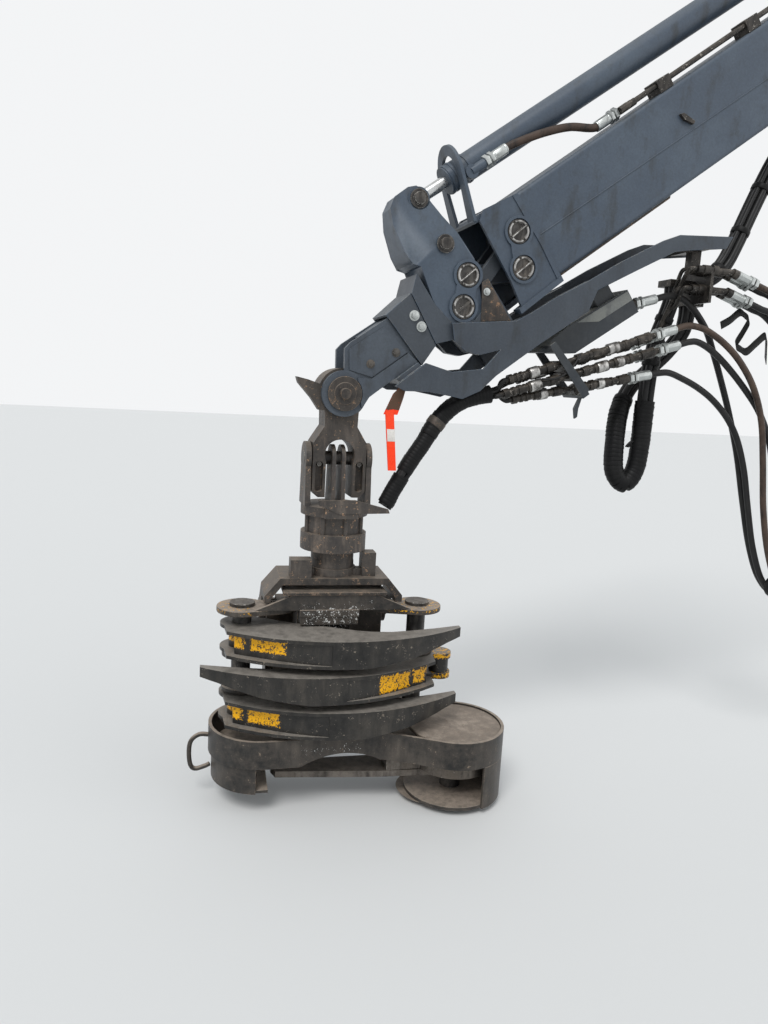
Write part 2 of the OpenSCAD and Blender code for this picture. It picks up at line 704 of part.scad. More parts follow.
// Ends of the hoses in plumb axes, square to the face that they leave or meet
end_gap = 0.3;
function plumb(p) = [p[0] * cos(boom_slope) - p[2] * sin(boom_slope), p[1], p[0] * sin(boom_slope) + p[2] * cos(boom_slope)];
function slope_way(a) = [cos(a), 0, sin(a)];
function leaving(face, way) = [face + end_gap * way, face + 50 * way];
function from_row(row) = let (l = row[5] + ferrule_len)
  leaving(plumb([row[0] + l * cos(row[3]), row[2], row[1] - l * sin(row[3])]), slope_way(boom_slope - row[3]));
function into_elbow(e) = let (way = slope_way(-elbow_turn), face = [wall_x + elbow_out, e[0], e[1]] + elbow_len * way)
  [face + 60 * way, face + end_gap * way];

// Routes of the hoses in plumb axes: x, y and z from the nose pin
route_1 = concat(leaving(plumb(fitting + fitting_len * slope_way(-fitting_slope)), slope_way(boom_slope - fitting_slope)),
  [[1338, -22, 450], [1376, -26, 440], [1410, -30, 418], [1440, -34, 390], [1500, -30, 326], [1560, -8, 248],
  [1620, 12, 160], [1690, 14, 10], [1760, 14, -170], [1820, 14, -370], [1885, 14, -570], [1960, 14, -720], [2050, 14, -790],
  [2140, 12, -720], [2175, 8, -520], [2150, 2, -260], [2070, -8, 20], [1940, -18, 270], [1790, -26, 396]],
  into_elbow(elbows[3]));
route_2 = concat(from_row(coupler_rows[0]), [[1412, -82, 333], [1470, -83, 318], [1560, -84, 270], [1643, -84, 202],
  [1720, -84, 105], [1780, -84, -30], [1815, -84, -200], [1850, -84, -400], [1905, -84, -590], [1980, -84, -735],
  [2070, -84, -785], [2150, -85, -700], [2190, -86, -500], [2170, -88, -240], [2100, -90, 40], [1970, -92, 300],
  [1800, -95, 462]], into_elbow(elbows[0]));
route_3 = concat(from_row(coupler_rows[2]), [[1436, -73, 274], [1510, -64, 246], [1600, -54, 190], [1700, -52, 105],
  [1790, -52, 10], [1860, -52, -110], [1910, -52, -270], [1950, -52, -450], [2000, -52, -630], [2080, -52, -730],
  [2150, -53, -640], [2185, -56, -460], [2160, -60, -220], [2080, -64, 40], [1940, -68, 280], [1790, -72, 398]],
  into_elbow(elbows[2]));
route_4 = concat(from_row(coupler_rows[4]), [[1340, -43, 148], [1400, -36, 132], [1490, -24, 100], [1577, -20, 52],
  [1660, -20, -20], [1725, -20, -110], [1780, -20, -240], [1825, -20, -400], [1880, -20, -580], [1955, -20, -730],
  [2050, -20, -790], [2140, -21, -710], [2180, -24, -510], [2160, -30, -250], [2090, -38, 30], [1960, -46, 290],
  [1800, -50, 460]], into_elbow(elbows[1]));
bundle_route = [[1372, 42, 491.6], [1372, 42, 450], [1362, 50, 390], [1335, 60, 290], [1318, 60, 160], [1312, 60, 0],
  [1310, 60, -160], [1296, 60, -262], [1252, 62, -314], [1206, 70, -262], [1204, 84, -150], [1226, 110, -20],
  [1285, 142, 80], [1370, 150, 160], [1436, 126, 240], [1466, 84, 320], [1470, 70, 380], [1470, 70, 424.6]];
sleeve_route = [[560, -46, 24], [512, -44, 14], [466, -42, -2], [424, -40, -28], [388, -40, -62], [358, -40, -100],
  [334, -40, -140]];
module hose_1() {
  color(dark) at_tip() hose(route_1, hose_r);
}

module hose_2() {
  color(dark) at_tip() hose(route_2, hose_r);
}

module hose_3() {
  color(dark) at_tip() hose(route_3, hose_r);
}

module hose_4() {
  color(dark) at_tip() hose(route_4, hose_r);
}

module hose_bundle() {
  color(dark) at_tip() hose(bundle_route, wrap_r);
}

module hose_sleeve() {
  color(dark) at_tip() hose(sleeve_route, sleeve_hose_r);
}

// Hanging link
link_half = nose_gap - 4;  // half the thickness of the hanging link
leg_in = 50;               // inner face of a leg of the link
leg_out = 98;
leg_low = flange_drop - 32;
link_outline = [[-64, 0], [-60, -118], [-98, -178], [-leg_out, -leg_low + 22], [-leg_out + 22, -leg_low],
  [leg_out - 22, -leg_low], [leg_out, -leg_low + 22], [98, -178], [60, -118], [64, 0]];
module hanger() {
  color(rust) at_tip() difference() {
    union() {
      cross_bar([0, 0], nose_boss_r + 8, -link_half, link_half);
      plate(link_outline, -link_half, link_half);
      // horn on the near side
      plate([[-167, 51], [-160, 30], [-113, -21], [-84, -62], [-50, -62], [-50, 20], [-127, 43]], -link_half, -18);
    }
    cross_bar([0, 0], nose_pin_r + run_fit, -200, 200);
    plate([[-leg_in, -500], [-leg_in, 8 - cross_drop], [leg_in, 8 - cross_drop], [leg_in, -500]], -100, 100);
    cross_bar([0, 16 - cross_drop], leg_in + 5, -100, 100);
    // slots in the legs, from the front and from the back
    for (s = [-1, 1]) {
      plate_pair([[s * 60, -258], [s * 88, -258], [s * 88, -341], [s * 60, -341]], 30, 100);
      for (low = [-258, -341]) cross_bar_pair([s * 74, low], 14, 30, 100);
    }
    translate([0, 0, -cross_drop]) rotate([0, 90, 0]) cylinder(r = cross_pin_r + seat_fit, h = 300, center = true);
  }
}

module cross_pin() {
  color(dark) at_tip() {
    translate([0, 0, -cross_drop]) rotate([0, 90, 0]) cylinder(r = cross_pin_r, h = 2 * ring_r + 4, center = true);
    // bolts that lock the pin in the legs
    for (s = [-1, 1]) cross_bar([s * 74, -254], 9, -link_half + 4, -30.1);
  }
}

// Rotator: clevis and fixed body
cheek_low = 102;           // inner face of an outer cheek
module rotator_clevis() {
  color(rust) at_tip() difference() {
    union() {
      for (x = [[-25, 14], [11, 14], [cheek_low, ring_r - cheek_low], [-ring_r, ring_r - cheek_low]])
        translate([x[0], 0, 0]) {
          translate([0, 0, -cross_drop]) rotate([0, 90, 0]) cylinder(r = x[1] > 14 ? 58 : 50, h = x[1]);
          rotate([90, 0, 90]) linear_extrude(x[1]) polygon([[-62, -flange_drop - 1], [62, -flange_drop - 1],
            [48, -cross_drop], [-48, -cross_drop]]);
        }
      translate([0, 0, -stator_drop]) cylinder(r = ring_r + 2, h = stator_drop - flange_drop);
      // bracket for the hoses on the front
      plate([[-86, -375], [48, -373], [170, -404], [176, -419], [-10, -424], [-86, -392]], -ring_r - 15, -ring_r - 4);
      plate([[-60, 0.5 - stator_drop], [60, 0.5 - stator_drop], [60, -flange_drop - 0.5], [-60, -flange_drop - 0.5]],
        -ring_r - 12, -80);
    }
    translate([0, 0, -cross_drop]) rotate([0, 90, 0]) cylinder(r = cross_pin_r + run_fit, h = 300, center = true);
  }
}

module rotator_body() {
  color(rust) at_tip() {
    translate([0, 0, -ring_high]) cylinder(r = 104, h = ring_high - stator_drop - 0.1);
    for (i = [0 : 7]) rotate([0, 0, 45 * i + 12]) translate([106, 0, -ring_high])
      cylinder(r = 9, h = ring_high - stator_drop - 0.1);
    translate([0, 0, -ring_low]) cylinder(r = ring_r, h = ring_low - ring_high + weld_lap);
  }
}

// Rotor and yoke
module rotor_hub() {
  color(rust) at_tip() rotate([0, 0, head_turn]) {
    translate([0, 0, -hub_low]) cylinder(r = 80, h = hub_low - ring_low - 0.3);
    translate([0, 0, 0.1 - yoke_drop]) cylinder(r = 88, h = yoke_drop - hub_low - 0.1 + weld_lap);
    // bolts in the hub's flange
    for (i = [0 : 5]) rotate([0, 0, 60 * i + 40]) translate([68, 0, 0.2 - hub_low]) cylinder(r = 14, h = 26);
    translate([-165, -100, 0.1 - yoke_drop]) cube([77, 62, 68]);
    translate([104, -62, 0.1 - yoke_drop]) cube([52, 62, 88]);
    for (s = [-1, 1]) translate([s > 0 ? 70 : -110, -50, 0.1 - yoke_drop]) cube([40, 40, 24]);
  }
}

tilt_v = 200;
tilt_pin_r = 25;
yoke_half = 200;
leg_u = 255;
leg_t = 25;
module yoke() {
  color(rust) at_head() difference() {
    union() {
      translate([0, 100, 0]) rotate([90, 0, 0]) linear_extrude(200) {
        translate([-yoke_half, yoke_top - leg_t]) square([2 * yoke_half, leg_t]);
        for (s = [-1, 1]) polygon([[s * (yoke_half - 10), yoke_top], [s * yoke_half, yoke_top], [s * leg_u, yoke_top - 65],
          [s * leg_u, yoke_top - 90], [s * (leg_u - leg_t), yoke_top - 90], [s * (leg_u - leg_t), yoke_top - 74],
          [s * (yoke_half - 10), yoke_top - leg_t]]);
      }
      for (s = [-1, 1]) translate([s > 0 ? leg_u - leg_t : -leg_u, 0, 0]) rotate([90, 0, 90])
        linear_extrude(leg_t) polygon([[-100, yoke_top - 66], [-100, yoke_top - 90], [40, yoke_top - 100],
          [tilt_v - 48, tilt_z], [tilt_v + 48, tilt_z], [100, yoke_top - 66]]);
      for (s = [-1, 1]) translate([s * (leg_u - leg_t / 2), tilt_v, tilt_z]) rotate([0, 90, 0])
        cylinder(r = 50, h = leg_t, center = true);
    }
    translate([0, tilt_v, tilt_z]) rotate([0, 90, 0]) cylinder(r = tilt_pin_r + run_fit, h = 600, center = true);
  }
}

// Felling head
left_lobe = [-250, -50];
left_lobe_r = 193;
right_lobe = [480, -140];
right_lobe_r = 192;
box_low = [-130, -60];
box_high = [70, 90];

module shaft_bores(r) {
  for (s = [-1, 1]) translate([s * shaft_u, shaft_v, 0]) cylinder(r = r, h = 2000);
}

function reversed(list) = [for (i = [len(list) - 1 : -1 : 0]) list[i]];

function wing_half(ear_r) = [[115, -55], [185, shaft_v - 60], [shaft_u - 20, shaft_v - ear_r + 3], [shaft_u, shaft_v],
  [shaft_u - 40, shaft_v + ear_r - 20], [200, 20], [200, 110]];
module wing_outline(ear_r) {
  half = wing_half(ear_r);
  polygon(concat(half, reversed([for (p = half) [-p[0], p[1]]])));
  for (s = [-1, 1]) translate([s * shaft_u, shaft_v]) circle(ear_r);
}

module wing_plate() {
  color(dark) at_head() difference() {
    translate([0, 0, wing_z]) linear_extrude(plate_t) wing_outline(92);
    shaft_bores(shaft_r + run_fit);
  }
}

// The plates that hold the shafts between the arms
module ear_plates() {
  color(dark) at_head() difference() {
    for (level = [[arm_mid_z + arm_h + 6, 16], [arm_low_z + arm_h + 6, 16], [wall_top + 3, 10]])
      translate([0, 0, level[0]]) linear_extrude(level[1]) difference() {
        wing_outline(70);
        translate(box_low) square(box_high - box_low);
      }
    shaft_bores(shaft_r + run_fit);
  }
}

// Box on the wing plate: a front rib, two sides and a rear wall
rib_outline = [[-290, wing_top], [-175, box_top - 10], [-150, box_top], [150, box_top], [175, box_top - 10],
  [290, wing_top]];
module head_box() {
  color(dark) at_head() {
    translate([0, -106, 0]) rotate([90, 0, 0]) linear_extrude(14) polygon(rib_outline);
    translate([-150, 60, wing_top]) cube([300, 14, box_top - wing_top]);
    for (s = [-1, 1]) translate([s * 143 - 7, -107, wing_top]) cube([14, 168, box_top - wing_top]);
    // front of the box with its lip
    translate([-125, -119, arm_up_z + arm_h + 7]) cube([212, box_low[1] + 118.9, wing_z - arm_up_z - arm_h - 7.1]);
    translate([-128, -124, wing_z - 4]) cube([218, 17.5, plate_t + 6]);
  }
}

// Column between the arms
module middle_box() {
  color(dark) at_head() translate([box_low[0], box_low[1], base_z + 12])
    cube([box_high[0] - box_low[0], box_high[1] - box_low[1], wing_z - base_z - 12]);
}

// Rear plate with the side plates that carry the tilt pins
module rear_frame() {
  color(dark) at_head() difference() {
    union() {
      for (s = [-1, 1]) translate([s * (leg_u - leg_t - 12.5) - 12, 110.1, wall_top + 3])
        cube([24, 144.9, wing_z - wall_top - 3]);
      translate([-229.5, 110.1, wall_top + 3]) cube([459, 20, wing_z - wall_top - 3]);
    }
    translate([0, tilt_v, tilt_z]) rotate([0, 90, 0]) cylinder(r = tilt_pin_r + seat_fit, h = 600, center = true);
  }
}

module head_cover() {
  color(rust) at_head() translate([-190, -130, box_top]) cube([380, 210, 12]);
}

module arm_shaft(side) {
  color(dark) at_head() translate([side * shaft_u, shaft_v, 0]) {
    translate([0, 0, wall_top - 2]) cylinder(r = shaft_r, h = wing_top - wall_top + 2);
    translate([0, 0, wing_top]) cylinder(r = 46, h = 14);
  }
}

module shaft_left() {
  arm_shaft(-1);
}

module shaft_right() {
  arm_shaft(1);
}

// Plan of the base: a left lobe, a straight throat and a larger right lobe
module base_plan(inset) {
  translate(left_lobe) circle(left_lobe_r - inset);
  translate(right_lobe) circle(right_lobe_r - inset);
  polygon([[-250, -243 + inset], [-60, -236 + inset], [190, -214 + inset], [262, -244 + inset],
    [right_lobe[0] - 90, right_lobe[1] - 169 + inset], [right_lobe[0], right_lobe[1]],
    [right_lobe[0], right_lobe[1] + right_lobe_r - inset], [300, 120 - inset], [-250, 143 - inset]]);
}

// The arch over the throat
module throat_arch(gap) {
  translate([30, -300, base_z - 260]) rotate([-90, 0, 0]) cylinder(r = 300 + gap, h = 200, $fn = 128);
}

module base_wall() {
  color(rust) at_head() difference() {
    translate([0, 0, base_z]) linear_extrude(wall_h) difference() {
      base_plan(0);
      base_plan(wall_t);
    }
    throat_arch(0);
  }
}

module base_deck() {
  color(dark) at_head() difference() {
    translate([0, 0, base_z]) linear_extrude(12) base_plan(wall_t + 0.3);
    throat_arch(0.3);
  }
}

module base_cover() {
  color(dusty) at_head() {
    translate([right_lobe[0], right_lobe[1], wall_top - 20]) cylinder(r = right_lobe_r - wall_t - 0.3, h = 14);
    translate([right_lobe[0], right_lobe[1], base_z + 12]) cylinder(r = 90, h = wall_top - 20 - base_z - 12 + weld_lap);
  }
}

// A wall along an arc round a lobe
module arc_wall(at, r, a_low, a_high, z_low, z_high) {
  translate([at[0], at[1], z_low]) rotate([0, 0, a_low]) rotate_extrude(angle = a_high - a_low)
    translate([r - wall_t, 0]) square([wall_t, z_high - z_low]);
}

module skirt() {
  color(rust) at_head() {
    arc_wall(right_lobe, right_lobe_r, -68, 90, skid_z, base_z);
    translate([right_lobe[0], right_lobe[1], skid_z]) cylinder(r = right_lobe_r - wall_t + weld_lap, h = 14);
    arc_wall(left_lobe, left_lobe_r - 12, 130, 262, left_skirt_z, base_z);
    translate([left_lobe[0], left_lobe[1], left_skirt_z]) difference() {
      cylinder(r = left_lobe_r - 24 + weld_lap, h = 12);
      translate([20, -300, -1]) cube([300, 600, 20]);
    }
  }
}

module skid_dish() {
  color(dusty) at_head() translate([400, -130, 96]) cylinder(r1 = 95, r2 = 130, h = skid_z - 96);
}

module handle() {
  color(dark) at_head() translate([left_lobe[0] - left_lobe_r - 0.2, left_lobe[1], 0]) rotate([90, 0, 0])
    translate([0, 0, -8]) linear_extrude(16)
      polygon([[0, 345], [-30, 350], [-62, 325], [-75, 280], [-70, 215], [-45, 196], [12, 215], [12, 232], [-40, 214],
        [-54, 225], [-60, 275], [-50, 312], [-26, 332], [0, 328]]);
}

module tilt_pins() {
  color(dark) at_head() for (s = [-1, 1]) translate([s * (leg_u - leg_t - 25), tilt_v, tilt_z]) rotate([0, s * 90, 0])
    cylinder(r = tilt_pin_r, h = 62);
}

// Arms in arm axes: the shaft at the origin, the arm to the right, its front towards -y
arm_r = 727;
arm_c = [373, arm_r - 255];
tip_u = 806;
function arc_at(c, r, u) = [u, c[1] - sqrt(r * r - (u - c[0]) * (u - c[0]))];
front_u = [-56, 0, 60, 120, 180, 240, 300, 360, 420, 480, 540, 600, 660, 720, 770, tip_u];
module arm_plan() {
  polygon(concat([for (u = front_u) arc_at(arm_c, arm_r, u)],
    [[tip_u, -88], [700, -118], [600, -140], [531, -150], [460, -144],
    [400, -126], [300, -76], [170, -20], [60, 50], [-70, 20]]));
  circle(78);
}

module arm_side() {
  polygon([[-100, 0], [430, 0], [600, 22], [tip_u - 60, 56], [tip_u + 10, 66], [tip_u + 10, arm_h], [-100, arm_h]]);
}

// The recess between the flanges: open at the shaft's end, and flush with the front further along
sleeve_r = 46;
pocket_d = 34;
pocket_end = 330;
function pocket_at(u) = pocket_d * min(1, (pocket_end - u) / 270);
module web_pocket() {
  line = [for (u = front_u) if (u < pocket_end) arc_at(arm_c, arm_r, u) + [0, pocket_at(u)]];
  translate([0, 0, arm_flange_t]) linear_extrude(arm_h - 2 * arm_flange_t) difference() {
    union() {
      polygon(concat(line, [[pocket_end, -400], [-120, -400], [-120, line[0][1]]]));
      translate([-120, -200]) square([92, 400]);
    }
    circle(sleeve_r);
  }
}

module felling_arm() {
  difference() {
    linear_extrude(arm_h) arm_plan();
    translate([0, 300, 0]) rotate([90, 0, 0]) linear_extrude(700) difference() {
      translate([-200, -1]) square([1100, arm_h + 2]);
      arm_side();
    }
    web_pocket();
    translate([0, 0, -1]) cylinder(r = shaft_r + seat_fit, h = arm_h + 2);
  }
}

module arm_upper() {
  color(dark) at_head() translate([-shaft_u, shaft_v, arm_up_z]) felling_arm();
}

module arm_lower() {
  color(dark) at_head() translate([-shaft_u, shaft_v, arm_low_z]) felling_arm();
}

// The middle arm has a lug beyond its shaft, with a sleeve between two plates
lug_u = 103;
module arm_middle() {
  color(dark) at_head() translate([shaft_u, shaft_v, arm_mid_z]) mirror([1, 0, 0]) difference() {
    union() {
      felling_arm();
      for (z = [0, arm_h - 22]) translate([-lug_u, 0, z]) {
        cylinder(r = 46, h = 22);
        translate([0, -40, 0]) cube([lug_u - 5, 80, 22]);
      }
      translate([-lug_u, 0, 1]) cylinder(r = 38, h = arm_h - 2);
    }
    translate([0, 0, -1]) cylinder(r = shaft_r + seat_fit, h = arm_h + 2);
  }
}

// Knife: a carrier that turns in the right lobe and the blade bolted to it
module knife_carrier() {
  color(dark) at_head() difference() {
    union() {
      translate([right_lobe[0], right_lobe[1], knife_z + 24]) cylinder(r = 150, h = 52);
      translate([210, right_lobe[1] - 50, knife_z + 24]) cube([270, 110, 52]);
    }
    translate([right_lobe[0], right_lobe[1], 0]) cylinder(r = 40 + run_fit, h = 500);
  }
}

module knife() {
  color(bright) at_head() difference() {
    translate([0, 0, knife_z]) linear_extrude(24)
      polygon([[right_lobe[0] + 60, -200], [right_lobe[0] - 300, -190], [-200, -150], [-215, -110], [-190, -60], [240, -60],
        [right_lobe[0] + 60, -60]]);
    translate([right_lobe[0], right_lobe[1], 0]) cylinder(r = 40 + run_fit, h = 500);
  }
}

module knife_pin() {
  color(dark) at_head() translate([right_lobe[0], right_lobe[1], skid_z + 14]) cylinder(r = 40, h = base_z - skid_z - 14);
}

boom_beam();
boom_end();
boom_end_pins();
boom_base();
cylinder_lugs();
cylinder_rear_pin();
lift_lugs();
wear_strip();
cylinder_tube();
cylinder_rod();
link_lower();
link_upper();
knuckle_plates();
knuckle_pins();
rod_pin();
knuckle_web();
nose_socket();
collar();
nose();
nose_pin();
guard();
manifold();
couplers();
bulkhead();
marker();
boom_pipes();
hose_1();
hose_2();
hose_3();
hose_4();
hose_bundle();
hose_sleeve();
hanger();
cross_pin();
rotator_clevis();
rotator_body();
rotor_hub();
yoke();
wing_plate();
ear_plates();
head_box();
middle_box();
rear_frame();
head_cover();
shaft_left();
shaft_right();
base_wall();
base_cover();
base_deck();
skirt();
skid_dish();
knife_pin();
knife_carrier();
handle();
tilt_pins();
arm_upper();
arm_lower();
arm_middle();
knife();
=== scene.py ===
"""Looks of a harvester crane's boom end with its felling head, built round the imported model. Metres."""

import json
import math
import random

import bpy
from mathutils import Matrix, Vector


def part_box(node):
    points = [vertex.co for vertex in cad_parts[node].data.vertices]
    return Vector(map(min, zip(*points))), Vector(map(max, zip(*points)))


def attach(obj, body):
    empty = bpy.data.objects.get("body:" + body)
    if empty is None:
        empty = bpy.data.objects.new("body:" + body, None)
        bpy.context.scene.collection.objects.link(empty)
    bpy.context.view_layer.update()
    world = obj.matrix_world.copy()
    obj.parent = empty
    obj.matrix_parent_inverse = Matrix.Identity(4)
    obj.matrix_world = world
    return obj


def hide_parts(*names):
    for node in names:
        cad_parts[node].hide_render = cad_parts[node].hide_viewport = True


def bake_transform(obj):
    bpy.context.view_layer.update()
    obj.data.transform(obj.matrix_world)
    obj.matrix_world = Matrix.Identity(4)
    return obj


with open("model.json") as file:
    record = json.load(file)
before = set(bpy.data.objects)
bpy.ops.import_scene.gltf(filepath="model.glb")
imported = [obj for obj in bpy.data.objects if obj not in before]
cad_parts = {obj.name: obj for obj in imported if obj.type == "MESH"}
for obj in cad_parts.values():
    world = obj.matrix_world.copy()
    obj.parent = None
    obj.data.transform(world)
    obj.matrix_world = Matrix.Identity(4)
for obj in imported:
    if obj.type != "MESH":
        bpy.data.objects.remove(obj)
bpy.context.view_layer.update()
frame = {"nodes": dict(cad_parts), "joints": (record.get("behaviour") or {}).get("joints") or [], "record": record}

# Places: the nose pin, the slopes of the boom and the head, and the ground plane below the head
JOINTS = {joint["name"]: joint for joint in frame["joints"]}
TIP = Vector(JOINTS["hanger_swing"]["pos_m"])
BOOM_SLOPE = math.radians(37)
HEAD_TURN = math.radians(-3)
HEAD_DROP = 1.614
FLOOR_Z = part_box("skid_dish")[0].z
MM = 0.001


def on_boom(x, z, y=0):
    """A point in millimetres along the boom from the nose pin, square to it and across it."""
    c, s = math.cos(BOOM_SLOPE), math.sin(BOOM_SLOPE)
    return TIP + MM * Vector((x * c - z * s, y, x * s + z * c))


def hanging(x, y, z):
    """A point in millimetres from the nose pin in plumb axes."""
    return TIP + MM * Vector((x, y, z))


def on_head(u, v, z):
    """A point in millimetres to the head's right, to its back and up from HEAD_DROP below the nose pin."""
    c, s = math.cos(HEAD_TURN), math.sin(HEAD_TURN)
    return TIP + MM * Vector((u * c - v * s, u * s + v * c, z)) - Vector((0, 0, HEAD_DROP))


def boom_way(degrees):
    """The direction that dips by so many degrees from the boom's line towards its base."""
    angle = BOOM_SLOPE - math.radians(degrees)
    return Vector((math.cos(angle), 0, math.sin(angle)))


# Camera
EYE = TIP + Vector((-0.6001, -2.7667, 0.0395))
YAW, PITCH, ROLL = math.radians(16), math.radians(9.4), math.radians(3.2)
LENS = 27.04


def camera():
    level = Vector((math.sin(YAW), math.cos(YAW), 0))
    side = Vector((math.cos(YAW), -math.sin(YAW), 0))
    ahead = level * math.cos(PITCH) - Vector((0, 0, math.sin(PITCH)))
    above = level * math.sin(PITCH) + Vector((0, 0, math.cos(PITCH)))
    up = above * math.cos(ROLL) - side * math.sin(ROLL)
    right = side * math.cos(ROLL) + above * math.sin(ROLL)
    data = bpy.data.cameras.new("camera")
    data.lens = LENS
    data.sensor_width = 36
    data.clip_end = 100
    eye = bpy.data.objects.new("camera", data)
    eye.matrix_world = Matrix.Translation(EYE) @ Matrix((right, up, -ahead)).transposed().to_4x4()
    bpy.context.scene.collection.objects.link(eye)
    bpy.context.scene.camera = eye


camera()


# Shader building
def node(tree, kind, values=None, **settings):
    new = tree.nodes.new("ShaderNode" + kind)
    for name, value in settings.items():
        setattr(new, name, value)
    for socket, value in (values or {}).items():
        if isinstance(value, bpy.types.NodeSocket):
            tree.links.new(value, new.inputs[socket])
        else:
            new.inputs[socket].default_value = value
    return new


def maths(tree, operation, a, b=0.0, clamp=False):
    return node(tree, "Math", {0: a, 1: b}, operation=operation, use_clamp=clamp).outputs[0]


def ramp(tree, value, low, high, out_low=0.0, out_high=1.0):
    values = {"Value": value, "From Min": low, "From Max": high, "To Min": out_low, "To Max": out_high}
    return node(tree, "MapRange", values, interpolation_type="SMOOTHSTEP").outputs[0]


def mixed(tree, factor, a, b):
    mix = node(tree, "Mix", {"Factor": factor}, data_type="RGBA")
    for socket, value in ((mix.inputs[6], a), (mix.inputs[7], b)):
        if isinstance(value, bpy.types.NodeSocket):
            tree.links.new(value, socket)
        else:
            socket.default_value = value
    return mix.outputs[2]


def noise(tree, vector, scale, detail=4, roughness=0.6):
    values = {"Vector": vector, "Scale": scale, "Detail": detail, "Roughness": roughness}
    return node(tree, "TexNoise", values).outputs[0]


def group(name, inputs, outputs):
    tree = bpy.data.node_groups.new(name, "ShaderNodeTree")
    for label, kind, value in inputs:
        socket = tree.interface.new_socket(label, in_out="INPUT", socket_type="NodeSocket" + kind)
        socket.default_value = value
    for label, kind in outputs:
        tree.interface.new_socket(label, in_out="OUTPUT", socket_type="NodeSocket" + kind)
    return tree, tree.nodes.new("NodeGroupInput"), tree.nodes.new("NodeGroupOutput")


def rgb(colour):
    return (*colour, 1.0)


# Worn paint or steel: patches, streaks of grime, chips down to the metal and dust on top faces
def weathered_group():
    grey = rgb((0.5, 0.5, 0.5))
    inputs = [("Paint", "Color", grey), ("Second", "Color", grey), ("Bare", "Color", grey),
              ("Grime", "Color", grey), ("Dust", "Color", grey), ("Chips", "Float", 0.3),
              ("Grime amount", "Float", 0.3), ("Dust amount", "Float", 0.3), ("Veil", "Float", 0.3),
              ("Scale", "Float", 1.0)]
    outputs = [("Color", "Color"), ("Roughness", "Float"), ("Metal", "Float"), ("Height", "Float")]
    tree, given, result = group("weathered", inputs, outputs)
    place = node(tree, "TexCoord").outputs
    up = node(tree, "SeparateXYZ", {0: place["Normal"]}).outputs["Z"]
    spot = node(tree, "VectorMath", {0: place["Object"], "Scale": given.outputs["Scale"]},
                operation="SCALE").outputs[0]
    streaked = node(tree, "Mapping", {"Vector": spot, "Scale": (1.0, 1.0, 0.22)}).outputs[0]
    broad = noise(tree, spot, 5.0, 5)
    middle = noise(tree, spot, 24.0, 6, 0.7)
    fine = noise(tree, spot, 130.0, 4, 0.65)
    runs = noise(tree, streaked, 16.0, 5, 0.62)
    patches = ramp(tree, broad, 0.38, 0.66)
    colour = mixed(tree, patches, given.outputs["Paint"], given.outputs["Second"])
    worn = maths(tree, "ADD", maths(tree, "MULTIPLY", runs, 0.65), maths(tree, "MULTIPLY", middle, 0.35))
    limit = maths(tree, "SUBTRACT", 0.78, maths(tree, "MULTIPLY", given.outputs["Grime amount"], 0.5))
    grime = ramp(tree, worn, maths(tree, "SUBTRACT", limit, 0.1), maths(tree, "ADD", limit, 0.1))
    colour = mixed(tree, grime, colour, given.outputs["Grime"])
    rough_chip = maths(tree, "ADD", maths(tree, "MULTIPLY", middle, 0.6), maths(tree, "MULTIPLY", fine, 0.4))
    chip_limit = maths(tree, "SUBTRACT", 0.78, maths(tree, "MULTIPLY", given.outputs["Chips"], 0.4))
    low_chip = maths(tree, "SUBTRACT", chip_limit, 0.02)
    chips = ramp(tree, rough_chip, low_chip, maths(tree, "ADD", chip_limit, 0.02))
    colour = mixed(tree, chips, colour, given.outputs["Bare"])
    top = ramp(tree, up, 0.25, 0.85)
    cloudy = maths(tree, "ADD", middle, maths(tree, "MULTIPLY", broad, 0.6))
    veil = maths(tree, "MULTIPLY", ramp(tree, cloudy, 0.5, 1.0), given.outputs["Veil"])
    lying = maths(tree, "ADD", maths(tree, "MULTIPLY", top, ramp(tree, middle, 0.2, 0.62, 0.45, 1.0)), veil)
    dust = maths(tree, "MULTIPLY", lying, given.outputs["Dust amount"], clamp=True)
    colour = mixed(tree, dust, colour, given.outputs["Dust"])
    tone = ramp(tree, fine, 0.2, 0.8, 0.86, 1.12)
    colour = node(tree, "VectorMath", {0: colour, "Scale": tone}, operation="SCALE").outputs[0]
    rough = maths(tree, "ADD", maths(tree, "MULTIPLY", middle, 0.24), maths(tree, "MULTIPLY", dust, 0.35))
    height = maths(tree, "SUBTRACT", maths(tree, "MULTIPLY", fine, 0.35), maths(tree, "MULTIPLY", chips, 0.5))
    height = maths(tree, "ADD", height, maths(tree, "MULTIPLY", middle, 0.4))
    bare = maths(tree, "MULTIPLY", chips, maths(tree, "SUBTRACT", 1.0, dust), clamp=True)
    tree.links.new(colour, result.inputs["Color"])
    tree.links.new(rough, result.inputs["Roughness"])
    tree.links.new(bare, result.inputs["Metal"])
    tree.links.new(height, result.inputs["Height"])
    return tree


